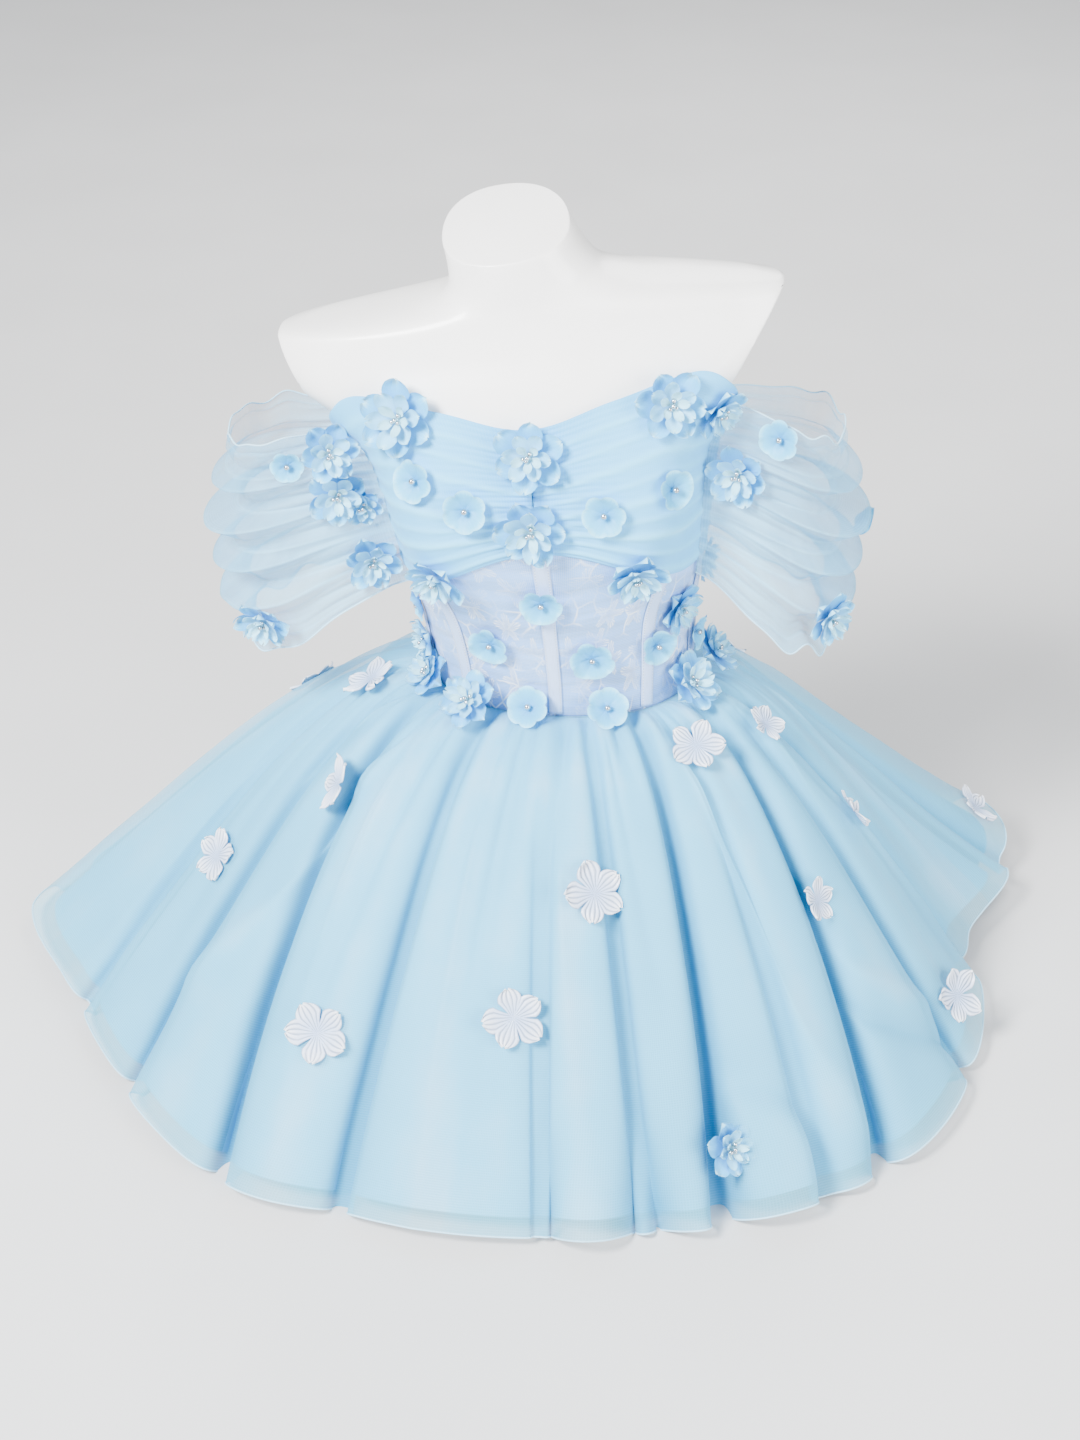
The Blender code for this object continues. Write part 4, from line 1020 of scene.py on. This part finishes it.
Flower = namedtuple("Flower", "name kind span host across up turn")
FLOWERS = [
    Flower("neck_left", "layered", 0.056, "bodice", -29, 276, 10),
    Flower("neck_left_side", "layered", 0.044, "sleeve_left", 0.032, 0.95, 40),
    Flower("neck_centre", "layered", 0.050, "bodice", 0, 246, 0),
    Flower("bust_centre", "layered", 0.052, "bodice", -1, 190, 30),
    Flower("under_bust_left", "layered", 0.046, "bodice", -33, 150, 15),
    Flower("under_bust_right", "layered", 0.046, "bodice", 29, 146, 50),
    Flower("neck_right", "layered", 0.050, "bodice", 34, 273, 25),
    Flower("neck_right_side", "layered", 0.038, "bodice", 55, 262, 5),
    Flower("armhole_left", "layered", 0.044, "sleeve_left", 0.020, 0.20, 20),
    Flower("side_right", "layered", 0.038, "bodice", 58, 84, 35),
    Flower("waist_left", "layered", 0.044, "waist", -32, -4, 0),
    Flower("waist_right", "layered", 0.046, "waist", 60, 4, 45),
    Flower("sleeve_left_front", "layered", 0.048, "sleeve_left", 0.040, 0.66, 0),
    Flower("sleeve_left_hem", "layered", 0.042, "sleeve_left", 0.24, 0.15, 30),
    Flower("sleeve_right_front", "layered", 0.046, "sleeve_right", 0.034, 0.70, 15),
    Flower("sleeve_right_hem", "layered", 0.042, "sleeve_right", 0.29, 0.19, 50),
    Flower("cup_bust_left", "cupped", 0.036, "bodice", -33, 231, 20),
    Flower("cup_bust_mid_left", "cupped", 0.036, "bodice", -18, 209, 0),
    Flower("cup_bust_mid_right", "cupped", 0.036, "bodice", 19, 201, 40),
    Flower("cup_bust_right", "cupped", 0.034, "bodice", 42, 211, 10),
    Flower("cup_centre", "cupped", 0.036, "bodice", -1, 118, 30),
    Flower("cup_left", "cupped", 0.036, "bodice", -23, 72, 0),
    Flower("cup_right", "cupped", 0.038, "bodice", 14, 57, 20),
    Flower("cup_side_right", "cupped", 0.034, "bodice", 44, 58, 0),
    Flower("cup_waist_left", "cupped", 0.036, "waist", -9, 4, 10),
    Flower("cup_waist_right", "cupped", 0.036, "waist", 19, 4, 45),
    Flower("cup_sleeve_right", "cupped", 0.034, "sleeve_right", 0.11, 0.98, 0),
    Flower("satin_1", "satin", 0.048, "skirt", -77, 0.22, 10),
    Flower("satin_2", "satin", 0.046, "skirt", -47, 0.41, 50),
    Flower("satin_3", "satin", 0.046, "skirt", -69, 0.68, 20),
    Flower("satin_4", "satin", 0.052, "skirt", 9, 0.52, 0),
    Flower("satin_5", "satin", 0.052, "skirt", -31, 0.78, 30),
    Flower("satin_6", "satin", 0.052, "skirt", -3, 0.715, 15),
    Flower("satin_7", "satin", 0.046, "skirt", 43, 0.24, 40),
    Flower("satin_8", "satin", 0.048, "skirt", 73, 0.92, 0),
    Flower("satin_9", "satin", 0.044, "skirt", 113, 0.93, 25),
]
# Smaller blooms between them, and those on the sides and the back, which aren't solids in the frame.
SMALL_FLOWERS = [
    Flower("sleeve_left_small", "cupped", 0.028, "sleeve_left", 0.12, 0.90, 30),
    Flower("sleeve_left_root", "layered", 0.030, "sleeve_left", 0.014, 0.56, 20),
    Flower("sleeve_right_small", "cupped", 0.028, "sleeve_right", 0.60, 0.50, 10),
    Flower("side_left", "layered", 0.040, "bodice", -72, 44, 20),
    Flower("side_left_high", "cupped", 0.030, "bodice", -68, 86, 0),
    Flower("waist_side_left", "layered", 0.040, "waist", -62, 4, 30),
    Flower("waist_side_right", "layered", 0.044, "waist", 88, 4, 0),
    Flower("side_right_low", "cupped", 0.032, "bodice", 76, 46, 15),
    Flower("side_right_high", "layered", 0.036, "bodice", 84, 108, 15),
    Flower("fold_1", "satin", 0.036, "skirt", 71, 0.30, 0),
    Flower("fold_2", "satin", 0.040, "skirt", 76, 0.58, 25),
    Flower("fold_3", "satin", 0.038, "skirt", 52, 0.62, 40),
    Flower("fold_4", "layered", 0.040, "skirt", 24, 0.90, 0),
    Flower("back_1", "satin", 0.048, "skirt", -152, 0.34, 0),
    Flower("back_2", "satin", 0.050, "skirt", -166, 0.66, 25),
    Flower("back_3", "satin", 0.046, "skirt", -118, 0.62, 50),
    Flower("back_4", "satin", 0.048, "skirt", -97, 0.40, 15),
    Flower("back_5", "satin", 0.048, "skirt", 145, 0.48, 35),
    Flower("back_6", "satin", 0.050, "skirt", 163, 0.80, 5),
    Flower("back_7", "satin", 0.046, "skirt", 129, 0.24, 45),
    Flower("back_neck_left", "layered", 0.044, "bodice", -152, 214, 10),
    Flower("back_neck_right", "layered", 0.044, "bodice", 150, 214, 40),
    Flower("back_cup_1", "cupped", 0.034, "bodice", -150, 140, 0),
    Flower("back_cup_2", "cupped", 0.036, "bodice", 160, 128, 20),
    Flower("back_cup_3", "cupped", 0.034, "bodice", -163, 70, 40),
    Flower("back_cup_4", "cupped", 0.034, "bodice", 146, 60, 10),
    Flower("back_waist_left", "layered", 0.042, "waist", -138, 4, 0),
    Flower("back_waist_right", "layered", 0.042, "waist", 134, 4, 30),
    Flower("back_waist_cup_left", "cupped", 0.034, "waist", -163, 4, 0),
    Flower("back_waist_cup_right", "cupped", 0.034, "waist", 160, 4, 20),
]
# A tier of petals: how many, their length and width as parts of the flower's radius, how steeply they rise, how
# far their sides curl up, how much their tips are notched, how far above the foot they are sewn, and how pale.
Petals = namedtuple("Petals", "count length width rise curl notch foot pale")
BLOOMS = {
    "layered": [
        Petals(6, 1.16, 0.37, 0.12, 0.12, 0.06, 0.02, 0.05),
        Petals(6, 0.82, 0.33, 0.36, 0.16, 0.08, 0.12, 0.45),
        Petals(5, 0.50, 0.32, 0.70, 0.24, 0.08, 0.20, 0.90),
    ],
    "satin": [Petals(5, 1.04, 0.42, 0.12, -0.05, 0.05, 0.03, 0.0)],
}
CUP_LOBES, CUP_NOTCH, CUP_RISE = 6, 0.13, 0.42
PETAL_FOOT, RIBBED_FOOT = 0.16, 0.22  # how wide a petal is at its foot, as part of its width
PETAL_WIDEST = 0.60  # how far along it is widest
RIB_HEIGHT = 0.034
PEARL, BIG_PEARL = 0.0022, 0.0029  # the radius of those in a layered flower, and of the one in a cupped one
FIRST_SEED = 40


def host_point(host, across, up):
    across, up = np.array(float(across)), np.array(float(up))
    if host == "skirt":
        place = skirt_point(across, up)
    elif host.startswith("sleeve"):
        place = sleeve_point(-1 if host == "sleeve_left" else 1, across, up)
    else:
        place = form_point(np.radians(across), up / 1000, PANEL_OUTSIDE)
    return Vector(place)


def flower_frame(flower):
    """The flower's place on its piece, with its third axis pointing away from the piece."""

    def beside(across, up):
        return host_point(flower.host, flower.across + across, flower.up + up)

    across_step, up_step = 4, 0.05
    if flower.host in ("bodice", "waist"):
        up_step = 8
    elif flower.host != "skirt":
        across_step = min(0.04, flower.across * 0.9)
    across = beside(across_step, 0) - beside(-across_step, 0)
    up = beside(0, up_step) - beside(0, -up_step)
    out = across.cross(up).normalized()
    if flower.host in ("skirt", "sleeve_left"):
        out.negate()
    if flower.host == "waist":
        out = (out + Vector((0, 0, 0.9))).normalized()
    side = Vector((0, 0, 1)).cross(out).normalized()
    turned = Matrix((side, out.cross(side), out)).transposed() @ Matrix.Rotation(math.radians(flower.turn), 3, "Z")
    return beside(0, 0), turned


def petal_tier(shape, petals, radius, chance, ribs):
    pale = shape.verts.layers.float["pale"]
    for i in range(petals.count):
        around = i + 0.5 * (petals.foot > 0.05) + 0.22 * (chance.random() - 0.5)
        turn = Matrix.Rotation(-2 * math.pi * around / petals.count, 3, "Z")
        length = radius * petals.length * mix(0.90, 1.06, chance.random())
        rise = petals.rise + 0.16 * (chance.random() - 0.4)
        wave, phase = 0.06 * mix(0.5, 1.5, chance.random()), 6.28 * chance.random()
        twist = 0.25 * (chance.random() - 0.5)
        made = bmesh.ops.create_grid(shape, x_segments=24 if ribs else 8, y_segments=8, size=0.5, calc_uvs=True)
        for vert in made["verts"]:
            s, t = 2 * vert.co.x, vert.co.y + 0.5
            t = 1 - (1 - t) ** 1.3
            foot = RIBBED_FOOT if ribs else PETAL_FOOT
            broad = foot + (1 - foot) * min(t / PETAL_WIDEST, 1) ** 1.3
            if t > PETAL_WIDEST:
                broad *= math.sqrt(max(1 - ((t - PETAL_WIDEST) / 0.405) ** 2, 0))
            reach = length * (t - petals.notch * t**5 * max(1 - abs(s) * 2.0, 0))
            height = rise * length * t**1.6 + (petals.curl + 0.1 * t) * length * s * s * t
            height += wave * length * math.sin(2.8 * s + phase) * t * t + twist * s * t * length * 0.3
            if ribs:
                height += RIB_HEIGHT * length * math.cos(s * 5 * math.pi) * math.sin(min(t * 1.3, 1) * math.pi / 2) ** 2
                reach += 0.03 * length * math.cos(s * 3 * math.pi) * t**6
            vert.co = turn @ Vector((s * broad * length * petals.width, reach, radius * petals.foot + height))
            vert[pale] = petals.pale


def cup(shape, radius, chance):
    """One shallow lobed cup, pressed from a single disc."""
    made = bmesh.ops.create_grid(shape, x_segments=48, y_segments=9, size=0.5, calc_uvs=True)["verts"]
    lean, phase = 0.10 * chance.random(), 6.28 * chance.random()
    for vert in made:
        turn, t = 2 * math.pi * (vert.co.x + 0.5), vert.co.y + 0.5
        lobe = abs(math.cos(CUP_LOBES * turn / 2)) ** 0.7
        reach = radius * t * (1 - CUP_NOTCH * (1 - lobe) * t**2)
        height = CUP_RISE * radius * t**2.2 * (1 + 0.22 * math.sin(2 * turn + phase) + 0.10 * math.sin(3 * turn))
        height -= 0.06 * radius * (1 - lobe) * math.sin(math.pi * min(t * 1.1, 1))
        height -= 0.13 * radius * max(t - 0.82, 0) / 0.18 * lobe
        height += lean * radius * t * math.sin(turn)
        vert.co = Vector((reach * math.sin(turn), reach * math.cos(turn), height + 0.02 * radius))
    bmesh.ops.remove_doubles(shape, verts=made, dist=1e-6)


def petal_finish(name, heart, tip, edge, roughness, lines_across=26.0, sheen=0.15, ribs=0.0):
    """Coloured from the heart to a paler tip and rim, with fine lines along each petal and painted shade in the grooves
    of ribbed ones, on the petal's UV map.
    """
    made = new_material(name, roughness, sheen=sheen, specular=0.45, sheen_tint=(0.8, 0.93, 1.0))
    uv = node(made, "TexCoord").outputs["UV"]
    at = node(made, "SeparateXYZ", {0: uv}).outputs
    lines = cloudy(made, stretched(made, uv, lines_across, 2.0), 1.0)
    reach = calc(made, "MULTIPLY_ADD", lines, 0.35, calc(made, "SUBTRACT", at["Y"], 0.17))
    colour = ramp(made, reach, (0.10, heart), (0.80, tip), (0.97, edge))
    pale = node(made, "Attribute", attribute_name="pale").outputs["Fac"]
    colour = colour_mix(made, pale, colour, edge)
    if ribs:
        # Painted shade in the grooves between the ribs: the colour goes towards a darkened heart colour there.
        rib = calc(made, "COSINE", calc(made, "MULTIPLY_ADD", at["X"], 10 * math.pi, -5 * math.pi))
        groove_shade = ramp(made, calc(made, "MULTIPLY_ADD", rib, 0.5, 0.5), (0.0, ribs), (0.5, 0.0))
        colour = colour_mix(made, groove_shade, colour, [c * 0.45 for c in heart])
    into_shader(made, Base_Color=colour)
    bump_from(made, lines, 0.0005, 0.7)
    return made


blue = petal_finish("blue_net_petals", (0.01, 0.24, 0.66), (0.07, 0.52, 0.90), (0.38, 0.80, 0.95), 0.55)
light_blue = petal_finish("light_blue_petals", (0.01, 0.30, 0.70), (0.08, 0.55, 0.88), (0.22, 0.68, 0.92), 0.5, 90.0)
white = petal_finish(
    "white_satin_petals", (0.42, 0.57, 0.86), (0.78, 0.84, 0.95), (0.90, 0.93, 0.98), 0.24, sheen=0.1, ribs=0.85
)
finishes = {"layered": (blue, "blue_net"), "cupped": (light_blue, "light_blue_net"), "satin": (white, "white_satin")}
pearl = new_material("silvery_pearl", 0.18, coat=0.6, specular=0.8, metallic=0.9)
layers = cloudy(pearl, node(pearl, "TexCoord").outputs["Object"], 400.0)
into_shader(pearl, Base_Color=ramp(pearl, layers, (0.3, (0.36, 0.39, 0.43)), (0.7, (0.58, 0.62, 0.66))))


def bloom(name, kind, span, place, turned, seed):
    """One flower's petals, and its pearls if it has them, at that place."""
    chance = np.random.default_rng(seed)
    finish, slot = finishes[kind]
    shape = bmesh.new()
    shape.loops.layers.uv.new("UVMap")
    shape.verts.layers.float.new("pale")
    if kind == "cupped":
        cup(shape, span / 2, chance)
    for petals in BLOOMS.get(kind, []):
        petal_tier(shape, petals, span / 2, chance, ribs=kind == "satin")
    parts = [(name, shape, finish)]
    if kind == "layered":
        size, height = PEARL, span * 0.12
        spots = [(0.0034 * math.sin(a + chance.random()), 0.0034 * math.cos(a), 0) for a in (0.3, 2.4, 4.3)]
        spots.append((0, 0, 0.0024))
    else:
        size, height, spots = BIG_PEARL, span * 0.04, [(0, 0, 0)]
    if kind != "satin":
        shape = bmesh.new()
        for spot in spots:
            centre = Matrix.Translation(Vector(spot) + Vector((0, 0, height + size)))
            bmesh.ops.create_icosphere(shape, subdivisions=2, radius=size, matrix=centre)
        parts.append((f"{name}_pearls", shape, pearl))
    made = []
    for part, shape, look in parts:
        bmesh.ops.transform(shape, matrix=Matrix.Translation(place) @ turned.to_4x4(), verts=shape.verts)
        made.append(to_object(part, shape))
        add_piece(made[-1], look)
    return made


SEAT_REACH = 0.04  # the cloth is looked for this far above and below a petal
SEAT_ROOM = 0.0004  # the petals clear the cloth by this


def seat(parts, out):
    """Lowers or lifts a flower along its own axis until its petals just clear the cloth, and says which cloth."""
    rooms = []
    for vert in parts[0].data.vertices:
        above = vert.co + out * SEAT_REACH
        for cloth, tree in cloth_trees.items():
            hit = tree.ray_cast(above, -out, 2 * SEAT_REACH)
            if hit[0]:
                rooms.append((hit[3], cloth))
    room, cloth = min(rooms)
    for part in parts:
        part.data.transform(Matrix.Translation(out * (SEAT_REACH - room + SEAT_ROOM)))
    return cloth


bpy.context.view_layer.update()
graph = bpy.context.evaluated_depsgraph_get()
cloths = [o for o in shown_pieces() if o.name.startswith(("corset", "draped", "bone", "skirt_net", "organza"))]
cloth_trees = {o.name: BVHTree.FromObject(o, graph) for o in cloths}
trims = {}  # the flowers on each cloth
for index, flower in enumerate(FLOWERS + SMALL_FLOWERS):
    here, turned = flower_frame(flower)
    parts = bloom(f"bloom_{flower.name}", flower.kind, flower.span, here, turned, FIRST_SEED + index)
    cloth = seat(parts, turned.col[2])
    if flower in FLOWERS:
        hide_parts(f"flower_{flower.name}")
    trims.setdefault(cloth, []).extend(parts)

# ---------------------------------------------------------------------------------------------------------------
# The studio: a plain pale floor, soft light from three large lamps and a pale room, and the camera at the
# photograph's angle.

shape = bmesh.new()
bmesh.ops.create_grid(shape, x_segments=2, y_segments=2, size=6)
floor = to_object("floor", shape)
pale_floor = new_material("pale_floor", 0.8)
speck = cloudy(pale_floor, node(pale_floor, "TexCoord").outputs["Object"], 4.0)
into_shader(pale_floor, Base_Color=ramp(pale_floor, speck, (0.3, 0.60), (0.7, 0.63)))
floor.data.materials.append(pale_floor)

target = Vector((0, 0, 0.315))
for name, place, size, power in (
    ("key", (-1.5, -1.9, 2.6), 1.0, 430),
    ("fill", (2.2, -1.8, 1.3), 1.6, 150),
    ("rim", (0.4, 2.4, 2.2), 1.6, 70),
):
    light = bpy.data.objects.new(name, bpy.data.lights.new(name, "AREA"))
    light.data.size, light.data.energy = size, power
    light.location = place
    light.rotation_euler = (target - Vector(place)).to_track_quat("-Z", "Y").to_euler()
    bpy.context.scene.collection.objects.link(light)
world = bpy.data.worlds.new("soft_room")
world.use_nodes = True
air = world.node_tree.nodes["Background"].inputs
air["Color"].default_value = (0.93, 0.96, 1.0, 1)
air["Strength"].default_value = 0.62
bpy.context.scene.world = world

AZIMUTH, ELEVATION, DISTANCE, LENS = math.radians(5), math.radians(32), 2.1, 60.33
camera = bpy.data.objects.new("camera", bpy.data.cameras.new("camera"))
level = math.cos(ELEVATION)
toward = Vector((-math.sin(AZIMUTH) * level, math.cos(AZIMUTH) * level, -math.sin(ELEVATION)))
camera.location = target - toward * DISTANCE
camera.rotation_euler = toward.to_track_quat("-Z", "Y").to_euler()
camera.data.sensor_fit = "VERTICAL"
camera.data.sensor_height = 36
camera.data.lens = LENS
camera.data.shift_x, camera.data.shift_y = -25 / 1440, -58 / 1440  # the photograph's middle, in its own pixels
bpy.context.scene.collection.objects.link(camera)
bpy.context.scene.camera = camera
